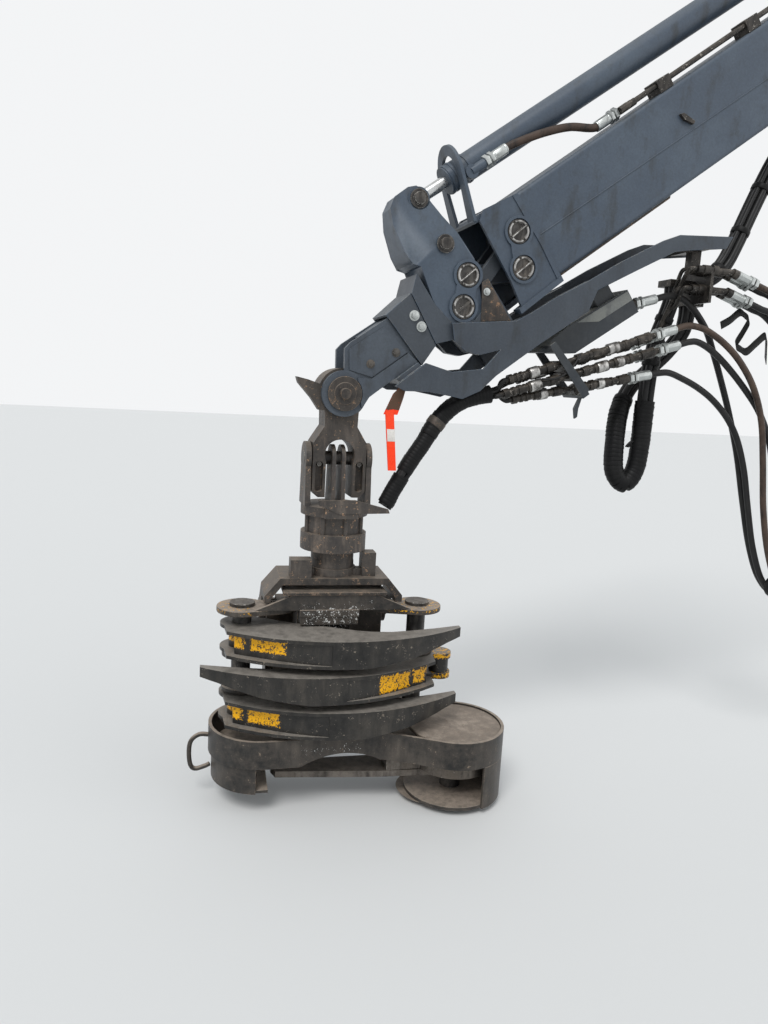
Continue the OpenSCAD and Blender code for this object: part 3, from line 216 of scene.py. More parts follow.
# A chipped patch of another colour, from one corner to the other in the head's own axes
def patch_group():
    inputs = [("Color", "Color", rgb((0.5, 0.5, 0.5))), ("Patch", "Color", rgb((0.8, 0.5, 0.0))),
              ("From", "Vector", (0, 0, 0)), ("To", "Vector", (0, 0, 0)), ("Wear", "Float", 0.5),
              ("Soft", "Float", 0.012)]
    tree, given, result = group("patch", inputs, [("Color", "Color")])
    place = node(tree, "TexCoord").outputs
    origin = on_head(0, 0, 0)
    values = {"Vector": place["Object"], "Location": tuple(origin), "Rotation": (0, 0, HEAD_TURN)}
    local = node(tree, "Mapping", values, vector_type="TEXTURE").outputs[0]
    ragged = noise(tree, place["Object"], 70.0, 5, 0.7)
    flecks = noise(tree, place["Object"], 190.0, 3, 0.7)
    here = node(tree, "SeparateXYZ", {0: local}).outputs
    low = node(tree, "SeparateXYZ", {0: given.outputs["From"]}).outputs
    high = node(tree, "SeparateXYZ", {0: given.outputs["To"]}).outputs
    shift = maths(tree, "MULTIPLY", maths(tree, "SUBTRACT", ragged, 0.5), 0.026)
    inside = None
    for axis in (0, 1, 2):
        at = maths(tree, "ADD", here[axis], shift)
        over = maths(tree, "SUBTRACT", at, low[axis])
        under = maths(tree, "SUBTRACT", high[axis], at)
        depth = maths(tree, "MINIMUM", over, under)
        inside = depth if inside is None else maths(tree, "MINIMUM", inside, depth)
    body = maths(tree, "DIVIDE", inside, given.outputs["Soft"], clamp=True)
    both = maths(tree, "ADD", maths(tree, "MULTIPLY", ragged, 0.5), maths(tree, "MULTIPLY", flecks, 0.5))
    limit = maths(tree, "SUBTRACT", 0.63, maths(tree, "MULTIPLY", given.outputs["Wear"], 0.28))
    limit = maths(tree, "ADD", limit, maths(tree, "MULTIPLY", body, 0.12))
    spared = maths(tree, "SUBTRACT", 1.0, ramp(tree, both, limit, maths(tree, "ADD", limit, 0.03)))
    mask = maths(tree, "MULTIPLY", ramp(tree, body, 0.02, 0.1), spared)
    tree.links.new(mixed(tree, mask, given.outputs["Color"], given.outputs["Patch"]), result.inputs["Color"])
    return tree


WEATHERED = weathered_group()
PATCH = patch_group()


def surface(name, look, shader, patches=()):
    """A material with the weathered group: look gives the group's values, shader the plain ones."""
    material = bpy.data.materials.new(name)
    material.use_nodes = True
    tree = material.node_tree
    tree.nodes.clear()
    worn = node(tree, "Group", node_tree=WEATHERED)
    for label, value in look.items():
        worn.inputs[label].default_value = rgb(value) if isinstance(value, tuple) else value
    colour = worn.outputs["Color"]
    for paint, low, high, wear, soft in patches:
        laid = node(tree, "Group", {}, node_tree=PATCH)
        tree.links.new(colour, laid.inputs["Color"])
        laid.inputs["Patch"].default_value = rgb(paint)
        laid.inputs["From"].default_value = [MM * value for value in low]
        laid.inputs["To"].default_value = [MM * value for value in high]
        laid.inputs["Wear"].default_value = wear
        laid.inputs["Soft"].default_value = soft
        colour = laid.outputs["Color"]
    rough = maths(tree, "ADD", worn.outputs["Roughness"], shader["rough"], clamp=True)
    metal = maths(tree, "MULTIPLY", worn.outputs["Metal"], shader.get("chip_metal", 0.6))
    metal = maths(tree, "ADD", metal, shader.get("metal", 0.0), clamp=True)
    bump = node(tree, "Bump", {"Height": worn.outputs["Height"], "Strength": shader.get("bump", 0.5),
                               "Distance": shader.get("depth", 0.0016)})
    values = {"Base Color": colour, "Roughness": rough, "Metallic": metal, "Normal": bump.outputs[0]}
    values["Specular IOR Level"] = shader.get("shine", 0.5)
    body = node(tree, "BsdfPrincipled", values)
    output = node(tree, "OutputMaterial")
    tree.links.new(body.outputs[0], output.inputs["Surface"])
    return material


# Finishes by slot: the weathered group's values, then the shader's own
SOIL = (0.20, 0.15, 0.10)
OIL = (0.018, 0.018, 0.019)
YELLOW = (0.84, 0.41, 0.0)
# Pale grease colour, also used for the painted glint of light along the base's wall
GREASE_AND_GLINT = (0.62, 0.62, 0.60)

LOOKS = {
    "boom_paint": ({
        "Paint": (0.044, 0.061, 0.086), "Second": (0.055, 0.075, 0.102), "Bare": (0.14, 0.14, 0.14),
        "Grime": (0.027, 0.033, 0.04), "Dust": (0.13, 0.145, 0.155), "Chips": 0.08, "Grime amount": 0.38,
        "Dust amount": 0.34, "Veil": 0.2, "Scale": 1.0,
    }, {"rough": 0.32, "bump": 0.3, "shine": 0.42}),
    "pin_steel": ({
        "Paint": (0.075, 0.072, 0.068), "Second": (0.12, 0.105, 0.09), "Bare": (0.40, 0.39, 0.37),
        "Grime": OIL, "Dust": SOIL, "Chips": 0.34, "Grime amount": 0.6, "Dust amount": 0.2, "Veil": 0.3,
        "Scale": 2.0,
    }, {"rough": 0.3, "metal": 0.5}),
    "rusty_steel": ({
        "Paint": (0.086, 0.068, 0.055), "Second": (0.05, 0.044, 0.04), "Bare": (0.24, 0.155, 0.10),
        "Grime": (0.014, 0.013, 0.013), "Dust": (0.26, 0.215, 0.17), "Chips": 0.5, "Grime amount": 0.72,
        "Dust amount": 0.45, "Veil": 0.4, "Scale": 1.5,
    }, {"rough": 0.36, "metal": 0.2, "bump": 0.7, "shine": 0.4}),
    "rod_chrome": ({
        "Paint": (0.62, 0.63, 0.63), "Second": (0.50, 0.50, 0.49), "Bare": (0.35, 0.30, 0.26),
        "Grime": (0.14, 0.13, 0.12), "Dust": (0.30, 0.27, 0.23), "Chips": 0.12, "Grime amount": 0.3,
        "Dust amount": 0.1, "Veil": 0.1, "Scale": 2.0,
    }, {"rough": 0.12, "metal": 0.95, "bump": 0.1}),
    "coupler_steel": ({
        "Paint": (0.036, 0.033, 0.03), "Second": (0.075, 0.066, 0.057), "Bare": (0.32, 0.30, 0.27),
        "Grime": (0.011, 0.011, 0.011), "Dust": (0.20, 0.165, 0.13), "Chips": 0.46, "Grime amount": 0.6,
        "Dust amount": 0.3, "Veil": 0.3, "Scale": 2.5,
    }, {"rough": 0.26, "metal": 0.5, "shine": 0.4}),
    "head_paint": ({
        "Paint": (0.02, 0.02, 0.019), "Second": (0.062, 0.053, 0.044), "Bare": (0.20, 0.155, 0.115),
        "Grime": (0.009, 0.009, 0.009), "Dust": (0.31, 0.255, 0.205), "Chips": 0.4, "Grime amount": 0.66,
        "Dust amount": 0.8, "Veil": 0.2, "Scale": 1.4,
    }, {"rough": 0.27, "metal": 0.1, "bump": 0.8, "shine": 0.4}),
    "dusty_steel": ({
        "Paint": (0.21, 0.165, 0.13), "Second": (0.29, 0.24, 0.195), "Bare": (0.11, 0.075, 0.052),
        "Grime": (0.07, 0.054, 0.044), "Dust": (0.35, 0.295, 0.24), "Chips": 0.55, "Grime amount": 0.62,
        "Dust amount": 0.4, "Veil": 0.5, "Scale": 1.6,
    }, {"rough": 0.5, "metal": 0.1, "bump": 0.8, "shine": 0.3}),
    "arm_paint": ({
        "Paint": (0.015, 0.014, 0.013), "Second": (0.042, 0.036, 0.029), "Bare": (0.20, 0.17, 0.135),
        "Grime": (0.005, 0.005, 0.005), "Dust": (0.26, 0.235, 0.205), "Chips": 0.44,
        "Grime amount": 0.62, "Dust amount": 0.8, "Veil": 0.1, "Scale": 1.3,
    }, {"rough": 0.2, "metal": 0.1, "bump": 0.8, "shine": 0.38}),
    "knife_steel": ({
        "Paint": (0.17, 0.15, 0.13), "Second": (0.11, 0.092, 0.075), "Bare": (0.34, 0.32, 0.29),
        "Grime": (0.03, 0.027, 0.025), "Dust": (0.24, 0.20, 0.16), "Chips": 0.4, "Grime amount": 0.5,
        "Dust amount": 0.4, "Veil": 0.3, "Scale": 1.6,
    }, {"rough": 0.3, "metal": 0.6}),
    "hose_rubber": ({
        "Paint": (0.008, 0.008, 0.009), "Second": (0.013, 0.013, 0.013), "Bare": (0.04, 0.037, 0.033),
        "Grime": (0.005, 0.005, 0.005), "Dust": (0.055, 0.05, 0.045), "Chips": 0.1, "Grime amount": 0.4,
        "Dust amount": 0.3, "Veil": 0.3, "Scale": 2.2,
    }, {"rough": 0.3, "bump": 0.25, "chip_metal": 0.0, "shine": 0.28}),
    "marker_orange": ({
        "Paint": (0.92, 0.045, 0.008), "Second": (0.88, 0.06, 0.016), "Bare": (0.6, 0.08, 0.04),
        "Grime": (0.5, 0.04, 0.015), "Dust": (0.62, 0.22, 0.16), "Chips": 0.15, "Grime amount": 0.2,
        "Dust amount": 0.1, "Veil": 0.3, "Scale": 2.0,
    }, {"rough": 0.45, "bump": 0.15, "chip_metal": 0.0, "shine": 0.2}),
}

# Yellow marks on the arms: low and high corner in head axes, and for all of them wear and soft edge
ARM_MARKS = {
    "arm_upper": [((-396, -400, 700), (-322, 60, 757)), ((-308, -400, 700), (-184, 60, 757))],
    "arm_lower": [((-396, -400, 434), (-322, 60, 495)), ((-312, -400, 432), (-195, 60, 495))],
    "arm_middle": [((149, -400, 551), (286, 60, 634)), ((290, -400, 557), (357, 60, 634)),
                   ((395, -400, 618), (490, 60, 642)), ((395, -400, 538), (490, 60, 562))],
}
ARM_WEAR = 0.8
ARM_SOFT = 0.011

# Grease on the head's boxes, a painted highlight along the base's wall, and yellow on its wings: colour, low and
# high corner in head axes, wear and soft edge
GREASE_AND_GLINT_PATCHES = {
    "head_box": [(GREASE_AND_GLINT, (-150, -400, 740), (170, -40, 880), 1.16, 0.05)],
    "middle_box": [(GREASE_AND_GLINT, (-150, -400, 660), (170, 0, 830), 1.18, 0.05)],
    # The base wall's pale patch is a painted highlight: the glint of light along the base's rim, in the grease
    # colour
    "base_wall": [(GREASE_AND_GLINT, (-150, -600, 300), (130, 80, 390), 1.2, 0.05)],
    "wing_plate": [(YELLOW, (-430, -400, 812), (-300, 200, 840), 1.0, 0.02),
                   (YELLOW, (190, -400, 812), (430, 200, 840), 0.98, 0.02)],
}

# The marker's rusty end, above a height in head axes
MARKER_TOP = 1565
RUSTY_END = ((0.09, 0.05, 0.032), (-500, -500, MARKER_TOP), (1000, 500, 1800), 0.4, 0.002)


def varied(name, slot, changes, shader=None):
    """A material like a slot's own, with some of its values changed."""
    look, own_shader = LOOKS[slot]
    return surface(name, {**look, **changes}, shader or own_shader)


MATERIALS = {name: surface(name, look, shader) for name, (look, shader) in LOOKS.items()}
MARKED = {}
for name, corners in ARM_MARKS.items():
    yellow = [(YELLOW, low, high, ARM_WEAR, ARM_SOFT) for low, high in corners]
    MARKED[name] = surface(name, *LOOKS["arm_paint"], yellow)
for name, patches in GREASE_AND_GLINT_PATCHES.items():
    MARKED[name] = surface(name, *LOOKS["head_paint"], patches)
MARKED["marker"] = surface("marker", *LOOKS["marker_orange"], [RUSTY_END])
MARKED["manifold"] = varied("manifold", "boom_paint", {
    "Paint": (0.016, 0.021, 0.027), "Second": (0.022, 0.026, 0.03), "Dust": (0.34, 0.34, 0.31),
    "Dust amount": 0.85, "Veil": 0.04,
})


# Nodes whose paint differs from their slot's own: share of its brightness, then how far it goes to grey
TINTS = {"guard": (0.66, 0.25), "link_lower": (0.5, 0.4), "link_upper": (0.5, 0.4),
         "collar": (0.62, 0.4), "nose": (0.85, 0.3), "nose_socket": (0.7, 0.3), "knuckle_web": (0.55, 0.3),
         "boom_end": (0.95, 0.0), "cylinder_lugs": (0.6, 0.2), "head_cover": (0.8, 0.3),
         "hanger": (1.25, -0.1), "rotator_clevis": (1.9, -0.1), "rotator_body": (2.0, -0.15),
         "rotor_hub": (1.7, -0.1), "handle": (0.5, 0.5)}
CHIPS_ON_DARKER = 0.08
CHIPS_ON_BRIGHTER = -0.04


def toned(colour, share, grey):
    mean = sum(colour) / 3
    return tuple(share * (value + grey * (mean - value)) for value in colour)


def tinted(name, slot, share, grey):
    look, shader = LOOKS[slot]
    look = {label: toned(value, share, grey) if isinstance(value, tuple) and label != "Dust" else value
            for label, value in look.items()}
    chips = look["Chips"] + (CHIPS_ON_DARKER if share < 1 else CHIPS_ON_BRIGHTER)
    return surface(name, {**look, "Chips": chips}, shader)


for part in frame["record"]["subparts"]:
    if part["node"] in TINTS:
        MARKED[part["node"]] = tinted(part["node"] + "_paint", part["material_slot"], *TINTS[part["node"]])


# The same finishes on rubbed edges, with many more chips and less grime
EDGES = {name: varied(name + "_edge", name, {"Chips": 0.62, "Grime amount": 0.3}) for name in LOOKS}

# Finishes of the added pieces that differ from their slot's own
# Painted sky light: a pale paint and a thick dust veil for the lit upper strip of the valve block's sides
SKY_LIT_PAINT = varied("painted_sky_light", "boom_paint", {
    "Paint": (0.17, 0.175, 0.16), "Second": (0.11, 0.12, 0.12), "Dust": (0.26, 0.26, 0.24), "Veil": 0.6,
})
ZINC = surface("zinc", {
    "Paint": (0.50, 0.52, 0.51), "Second": (0.40, 0.42, 0.41), "Bare": (0.62, 0.63, 0.62),
    "Grime": (0.12, 0.12, 0.12), "Dust": (0.34, 0.32, 0.29), "Chips": 0.3,
    "Grime amount": 0.32, "Dust amount": 0.15, "Veil": 0.2, "Scale": 2.5,
}, {"rough": 0.24, "metal": 0.75, "bump": 0.2})
WORN_BRIGHT = surface("worn_bright", {
    "Paint": (0.52, 0.51, 0.49), "Second": (0.34, 0.33, 0.32), "Bare": (0.66, 0.65, 0.63),
    "Grime": (0.05, 0.045, 0.04), "Dust": SOIL, "Chips": 0.4,
    "Grime amount": 0.5, "Dust amount": 0.1, "Veil": 0.2, "Scale": 3.0,
}, {"rough": 0.22, "metal": 0.8, "bump": 0.3})
BROWN_HOSE = varied("brown_hose", "hose_rubber", {
    "Paint": (0.045, 0.028, 0.02), "Second": (0.07, 0.045, 0.032),
})
TAPE = varied("tape", "hose_rubber", {
    "Paint": (0.006, 0.006, 0.0065), "Second": (0.009, 0.009, 0.009), "Dust": (0.03, 0.029, 0.027),
    "Dust amount": 0.15, "Scale": 3.0,
}, {"rough": 0.34, "bump": 0.35, "chip_metal": 0.0, "shine": 0.16})
RUST_PLATE = varied("rust_plate", "rusty_steel", {
    "Paint": (0.13, 0.085, 0.06), "Second": (0.09, 0.062, 0.048), "Bare": (0.21, 0.12, 0.07),
})
WHITE_BAND = surface("white_band", {
    "Paint": (0.68, 0.66, 0.62), "Second": (0.60, 0.56, 0.52), "Bare": (0.5, 0.3, 0.25),
    "Grime": (0.35, 0.3, 0.27), "Dust": (0.5, 0.45, 0.4), "Chips": 0.2,
    "Grime amount": 0.2, "Dust amount": 0.2, "Veil": 0.2, "Scale": 2.0,
}, {"rough": 0.4, "bump": 0.1, "chip_metal": 0.0})

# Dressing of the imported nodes: edges are broken and rubbed, finer or wider on some
EDGE_WIDTH = 0.0022
FINE = {"couplers": 0.0007, "bulkhead": 0.001, "boom_pipes": 0.0008, "rod_pin": 0.0012, "knuckle_pins": 0.001,
        "boom_end_pins": 0.001, "marker": 0.0002}
WIDER = {"arm_upper": 0.004, "arm_lower": 0.004, "arm_middle": 0.004, "base_cover": 0.004,
         "wing_plate": 0.003}


def broken_edges(piece, width):
    weld = piece.modifiers.new("weld", "WELD")
    weld.merge_threshold = 0.00002
    flat = piece.modifiers.new("flat", "DECIMATE")
    flat.decimate_type = "DISSOLVE"
    flat.angle_limit = math.radians(0.5)
    edge = piece.modifiers.new("edge", "BEVEL")
    edge.width = width
    edge.segments = 2
    edge.limit_method = "ANGLE"
    edge.angle_limit = math.radians(30)
    edge.material = 1
    edge.use_clamp_overlap = True
    edge.harden_normals = False
    lit = piece.modifiers.new("lit", "WEIGHTED_NORMAL")
    lit.keep_sharp = False


def dress():
    slots = {part["node"]: part["material_slot"] for part in frame["record"]["subparts"]}
    for name, piece in frame["nodes"].items():
        slot = slots[name]
        piece.data.materials.clear()
        piece.data.materials.append(MARKED.get(name, MATERIALS[slot]))
        piece.data.materials.append(EDGES[slot])
        for face in piece.data.polygons:
            face.use_smooth = True
        broken_edges(piece, FINE.get(name, WIDER.get(name, EDGE_WIDTH)))


dress()


# Making pieces
def alone(piece):
    bpy.ops.object.select_all(action="DESELECT")
    piece.select_set(True)
    bpy.context.view_layer.objects.active = piece


def joined(pieces):
    alone(pieces[0])
    for piece in pieces:
        piece.select_set(True)
    if len(pieces) > 1:
        bpy.ops.object.join()
    return bpy.context.object


def fitted(piece, name, slot, body, finish=None, sharp=30):
    """Gives a new piece its name, place, finish and body."""
    alone(piece)
    bpy.ops.object.transform_apply(location=True, rotation=True, scale=True)
    bpy.ops.object.shade_smooth_by_angle(angle=math.radians(sharp))
    piece.name = name
    piece.data.name = name
    piece.data.materials.clear()
    piece.data.materials.append(finish or MATERIALS[slot])
    if body:
        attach(piece, body)
    return piece


def rounded(points, steps=6):
    """The points with a smooth curve put through them."""
    ends = [2 * points[0] - points[1], *points, 2 * points[-1] - points[-2]]
    line = []
    for a, b, c, d in zip(ends, ends[1:], ends[2:], ends[3:]):
        for step in range(steps):
            t = step / steps
            bend = 2 * a - 5 * b + 4 * c - d
            twist = 3 * b - a - 3 * c + d
            line.append(0.5 * (2 * b + (c - a) * t + bend * t * t + twist * t ** 3))
    return line + [points[-1]]


def stations(line, gap):
    """Places a gap apart along a line, each with the way that the line runs there."""
    found = []
    due = 0.0
    for a, b in zip(line, line[1:]):
        length = (b - a).length
        while due <= length:
            found.append((a + (b - a) * (due / length), (b - a) / length))
            due += gap
        due -= length
    return found


def bars(runs, radius, round_steps=3, swell=(1.0,)):
    """Round bars through the points of each run, as one piece. Swell: shares of the radius, in turn."""
    curve = bpy.data.curves.new("bars", "CURVE")
    curve.dimensions = "3D"
    curve.bevel_depth = radius
    curve.bevel_resolution = round_steps
    curve.use_fill_caps = True
    for run in runs:
        spline = curve.splines.new("POLY")
        spline.points.add(len(run) - 1)
        for index, (knot, spot) in enumerate(zip(spline.points, run)):
            knot.co = (*spot, 1)
            knot.radius = swell[index % len(swell)]
    piece = bpy.data.objects.new("bars", curve)
    bpy.context.scene.collection.objects.link(piece)
    alone(piece)
    bpy.ops.object.convert(target="MESH")
    return bpy.context.object


def turned_to(way, at):
    """The matrix that stands a piece's z axis along a direction, at a place."""
    return Matrix.Translation(at) @ way.to_track_quat("Z", "Y").to_matrix().to_4x4()


def copies(model, frames):
    """Copies of a model at each frame as one piece; the model itself goes."""
    made = []
    for place in frames:
        copy = bpy.data.objects.new("copy", model.data.copy())
        copy.data.transform(place)
        bpy.context.scene.collection.objects.link(copy)
        made.append(copy)
    bpy.data.objects.remove(model)
    return joined(made)


def drum(radius, depth, sides=28, z=0.0, radius_top=None, bevel=0.0):
    """A round or many-sided bar on z, with its rims broken."""
    top = radius if radius_top is None else radius_top
    bpy.ops.object.select_all(action="DESELECT")
    bpy.ops.mesh.primitive_cone_add(vertices=sides, radius1=radius, radius2=top, depth=depth,
                                    location=(0, 0, z + depth / 2))
    piece = bpy.context.object
    bpy.ops.object.transform_apply(location=True, rotation=True, scale=True)
    if bevel:
        rim = piece.modifiers.new("rim", "BEVEL")
        rim.width = bevel
        rim.segments = 2
        rim.limit_method = "ANGLE"
        rim.angle_limit = math.radians(62 if sides == 6 else 40)
        bpy.ops.object.modifier_apply(modifier="rim")
    return piece


# Bolts: a hexagon's corner as a share of its width, the washer's thickness and the head's foot in it
HEXAGON_CORNER = 0.577
WASHER = 0.0024
HEAD_FOOT = 0.002


def bolt(across, height):
    """A hexagon head sunk a little into its washer, standing on z = 0."""
    parts = [drum(across * HEXAGON_CORNER, height, sides=6, z=HEAD_FOOT, bevel=across * 0.05)]
    parts.append(drum(across * 0.40, height * 0.15, sides=20, z=HEAD_FOOT + height, bevel=0.0006))
    parts.append(drum(across * 0.78, WASHER, sides=24, bevel=0.0006))
    return joined(parts)


def set_bolts(name, body, frames, across, height, finish=None):
    fitted(copies(bolt(across, height), frames), name, "pin_steel", body, finish)


def thickened(spots, faces, thickness, bevel):
    """Flat faces given a wall to both sides, with its rims broken."""
    mesh = bpy.data.meshes.new("flat")
    mesh.from_pydata([tuple(spot) for spot in spots], [], faces)
    piece = bpy.data.objects.new("flat", mesh)
    bpy.context.scene.collection.objects.link(piece)
    alone(piece)
    wall = piece.modifiers.new("wall", "SOLIDIFY")
    wall.thickness = thickness
    wall.offset = 0
    bpy.ops.object.modifier_apply(modifier="wall")
    rim = piece.modifiers.new("rim", "BEVEL")
    rim.width = bevel
    rim.segments = 2
    rim.limit_method = "ANGLE"
    bpy.ops.object.modifier_apply(modifier="rim")
    return piece


def plate(points, thickness, bevel):
    """A flat plate through the points, its faces turned outwards."""
    piece = thickened(points, [list(range(len(points)))], thickness, bevel)
    bpy.ops.object.mode_set(mode="EDIT")
    bpy.ops.mesh.select_all(action="SELECT")
    bpy.ops.mesh.normals_make_consistent(inside=False)
    bpy.ops.object.mode_set(mode="OBJECT")
    return piece


def plates_on_sides(corners, face, thickness, bevel):
    """The same plate on both sides of the boom's line, as one piece."""
    sides = [[on_boom(x, z, side * face) for x, z in corners] for side in (-1, 1)]
    return joined([plate(points, thickness, bevel) for points in sides])


WEBBING = 0.003


def strap(line, width, lean=Vector((0, 1, 0))):
    """A flat strap with its width along lean."""
    across = lean.normalized() * width / 2
    spots = [point - across for point in line] + [point + across for point in line]
    count = len(line)
    faces = [(k, k + 1, count + k + 1, count + k) for k in range(count - 1)]
    return thickened(spots, faces, thickness=WEBBING, bevel=WEBBING * 0.3)


def hose(name, runs, radius, body, finish=None, round_steps=4):
    return fitted(bars(runs, radius, round_steps), name, "hose_rubber", body, finish, sharp=60)


def beside(line, offset, turn):
    """A line that keeps a distance from another one, on the side that turn gives in degrees."""
    angle = math.radians(turn)
    moved = []
    for index, point in enumerate(line):
        way = (line[min(index + 1, len(line) - 1)] - line[max(index - 1, 0)]).normalized()
        side = (Vector((0, 1, 0)) - way * way.y).normalized()
        third = way.cross(side)
        moved.append(point + offset * (math.cos(angle) * side + math.sin(angle) * third))
    return moved


def wraps(line, radius, pitch, draw, tilt=0.05, flare=1.05):
    """Turns of tape or sleeve rings along a line, each a little askew."""
    frames = []
    for spot, way in stations(line, pitch):
        lean = Vector([draw.uniform(-tilt, tilt) for _ in range(3)])
        size = draw.uniform(0.985, 1.02)
        frames.append(turned_to((way + lean).normalized(), spot) @ Matrix.Diagonal((size, size, 1, 1)))
    ring = drum(radius * flare, pitch * 1.35, sides=26, z=-pitch * 0.6, radius_top=radius, bevel=0.0012)
    return copies(ring, frames)


def bands(line, places, radius, length, sides=28):
    """Tight bands round a line, so many millimetres along it, as one piece."""
    marks = stations(line, MM)
    frames = [turned_to(marks[place][1], marks[place][0]) for place in places]
    return copies(drum(radius, length, sides, z=-length / 2, bevel=0.003), frames)


# Link pins: a split bright ring round each cap, turned by its place on the boom, and the bar across it
CHEEK_FACE = 126
PLATE_FACE = 109
LINK_PINS = [(842, 121, CHEEK_FACE, "boom"), (792, 5, CHEEK_FACE, "boom"),
             (604, 95, PLATE_FACE, "knuckle"), (530, 12, PLATE_FACE, "knuckle")]
NO_BAR = (530, 12)
RING_RADIUS = 35
RING_SUNK = 1.5
RING_SWEEP = 74
RING_TURN = 20
RING_WIRE = 0.0042
BAR_LEAN = math.radians(5)
BAR_REACH = 0.034
BAR_WIRE = 0.0026


def ring_part(x, z, y, start, steps=14):
    """The stretch of a pin's ring that starts at an angle in degrees."""
    turn = [math.radians(start + RING_SWEEP * k / steps) for k in range(steps + 1)]
    return [on_boom(x + RING_RADIUS * math.cos(a), z + RING_RADIUS * math.sin(a), y) for a in turn]


def pin_rings():
    """Places and the ring's radius are in millimetres on the boom, wires and reach in metres."""
    lean = BOOM_SLOPE + BAR_LEAN
    reach = Vector((math.cos(lean), 0, math.sin(lean))) * BAR_REACH
    for body in ("boom", "knuckle"):
        rings = []
        crossbars = []
        for x, z, face, rides in LINK_PINS:
            if rides != body:
                continue
            for side in (-1, 1):
                y = side * (face - RING_SUNK)
                rings += [ring_part(x, z, y, RING_TURN * x + 90 * k) for k in range(4)]
                middle = on_boom(x, z, side * face)
                if (x, z) != NO_BAR:
                    crossbars.append([middle - reach, middle + reach])
        fitted(bars(rings, RING_WIRE), "pin_rings_" + body, "pin_steel", body, WORN_BRIGHT)
        fitted(bars(crossbars, BAR_WIRE, round_steps=2), "pin_bars_" + body, "pin_steel", body, WORN_BRIGHT)


# The base's handle: a smooth bar in place of the plain one, by points to the head's right and up
HANDLE = [(-439, 338), (-474, 340), (-503, 318), (-511, 278), (-506, 224), (-488, 205), (-452, 214),
          (-436, 222)]
HANDLE_BACK = -50
HANDLE_RADIUS = 0.0085


def base_handle():
    line = rounded([on_head(u, HANDLE_BACK, z) for u, z in HANDLE])
    piece = bars([line], HANDLE_RADIUS, round_steps=4)
    fitted(piece, "handle_bar", "head_paint", "head", MARKED["handle"], sharp=60)
    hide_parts("handle")


# Places of bolts along the boom and square to it, how far out they stand, and places on the head's cover
COLLAR_NUTS = [(361, 85), (362, 39)]
COLLAR_FACE = 96
NOSE_BOLTS = [(136, 33), (236, 14)]
NOSE_FACE = 87
COVER_BOLTS = [(-105, 40), (105, 36)]


def on_sides(places, face):
    """Frames at the places on both sides of the boom's line, standing outwards."""
    spots = [(side, on_boom(x, z, side * face)) for side in (-1, 1) for x, z in places]
    return [turned_to(Vector((0, side, 0)), spot) for side, spot in spots]


def bolts():
    nuts = on_sides(COLLAR_NUTS, COLLAR_FACE)
    set_bolts("collar_nuts", "knuckle", nuts, across=0.024, height=0.012, finish=ZINC)
    set_bolts("nose_bolts", "knuckle", on_sides(NOSE_BOLTS, NOSE_FACE), across=0.020, height=0.008)
    cover_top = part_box("head_cover")[1].z
    spots = [on_head(u, v, 0) for u, v in COVER_BOLTS]
    frames = [turned_to(Vector((0, 0, 1)), Vector((spot.x, spot.y, cover_top))) for spot in spots]
    set_bolts("cover_bolts", "head", frames, across=0.026, height=0.010)


# Where hoses end: the rows of couplers, each with its dip in degrees, the valve block and the elbows
COUPLER_ROWS = [(770, -384, -82, 18.3), (770, -400, -18, 18.3), (770, -440, -76, 19.6),
                (770, -448, -18, 19.6), (764, -496, -46, 25)]
ROW_ENDS = [400, 330, 390, 320, 250]
BLOCK_WAY = boom_way(20)
BLOCK_END = on_boom(1158, -372, -20) + 0.014 * BLOCK_WAY
ELBOWS = [(-95, 548), (-50, 548), (-72, 478), (-28, 478)]
WALL_X = 1430
ELBOW_X = WALL_X + 108
ELBOW_LENGTH = 0.120
ELBOW_WAY = Vector((math.cos(math.radians(17)), 0, -math.sin(math.radians(17))))


def on_row(row, along):
    """The way of a coupler row, and the place so many millimetres along it."""
    x, z, y, slope = COUPLER_ROWS[row]
    way = boom_way(slope)
    return way, on_boom(x, z, y) + way * along * MM


def elbow_mouth(which):
    y, z = ELBOWS[which]
    return hanging(ELBOW_X, y, z) + ELBOW_LENGTH * ELBOW_WAY


# Bright crimped ends of the hoses: radius, length, sides, place on z and broken rim of each step
CRIMP = [(0.0245, 0.016, 6, 0.0, 0.0012), (0.0165, 0.008, 20, 0.015, 0.0), (0.0245, 0.014, 6, 0.022, 0.0012),
         (0.0196, 0.050, 8, 0.040, 0.0018), (0.0188, 0.009, 24, 0.036, 0.0012),
         (0.0188, 0.008, 24, 0.0885, 0.0014)]
FERRULE = 0.096
ELBOW_GAP = 0.0006


def crimp():
    """A hexagon collar and a crimped shell; a hose leaves it FERRULE from its foot."""
    return joined([drum(radius, length, sides, z, bevel=rim) for radius, length, sides, z, rim in CRIMP])


def ferrules():
    frames = [turned_to(*on_row(row, end)) for row, end in enumerate(ROW_ENDS)]
    frames.append(turned_to(BLOCK_WAY, BLOCK_END))
    for which in range(len(ELBOWS)):
        frames.append(turned_to(-ELBOW_WAY, elbow_mouth(which) + ELBOW_GAP * ELBOW_WAY))
    fitted(copies(crimp(), frames), "ferrules", "coupler_steel", "knuckle", ZINC)


# Bright shells on the couplers: the row, how far along it each stands, and its length
SHELLS = [(0, -148, 36), (0, 190, 44), (1, -90, 30), (2, -172, 44), (2, 116, 42), (2, 200, 30), (3, 158, 38),
          (4, -140, 30), (4, 110, 26)]
SHELL_RADIUS = 0.0218


def coupler_shells():
    parts = []
    for row, start, length in SHELLS:
        shell = drum(SHELL_RADIUS, length * MM, sides=20, bevel=0.0018)
        shell.data.transform(turned_to(*on_row(row, start)))
        parts.append(shell)
    fitted(joined(parts), "coupler_shells", "coupler_steel", "knuckle", WORN_BRIGHT)


# Hoses, by points in plumb axes, with a gap and a straight lead at each end
END_GAP = 0.0003
LEAD = 0.050
ELBOW_LEAD = 0.060


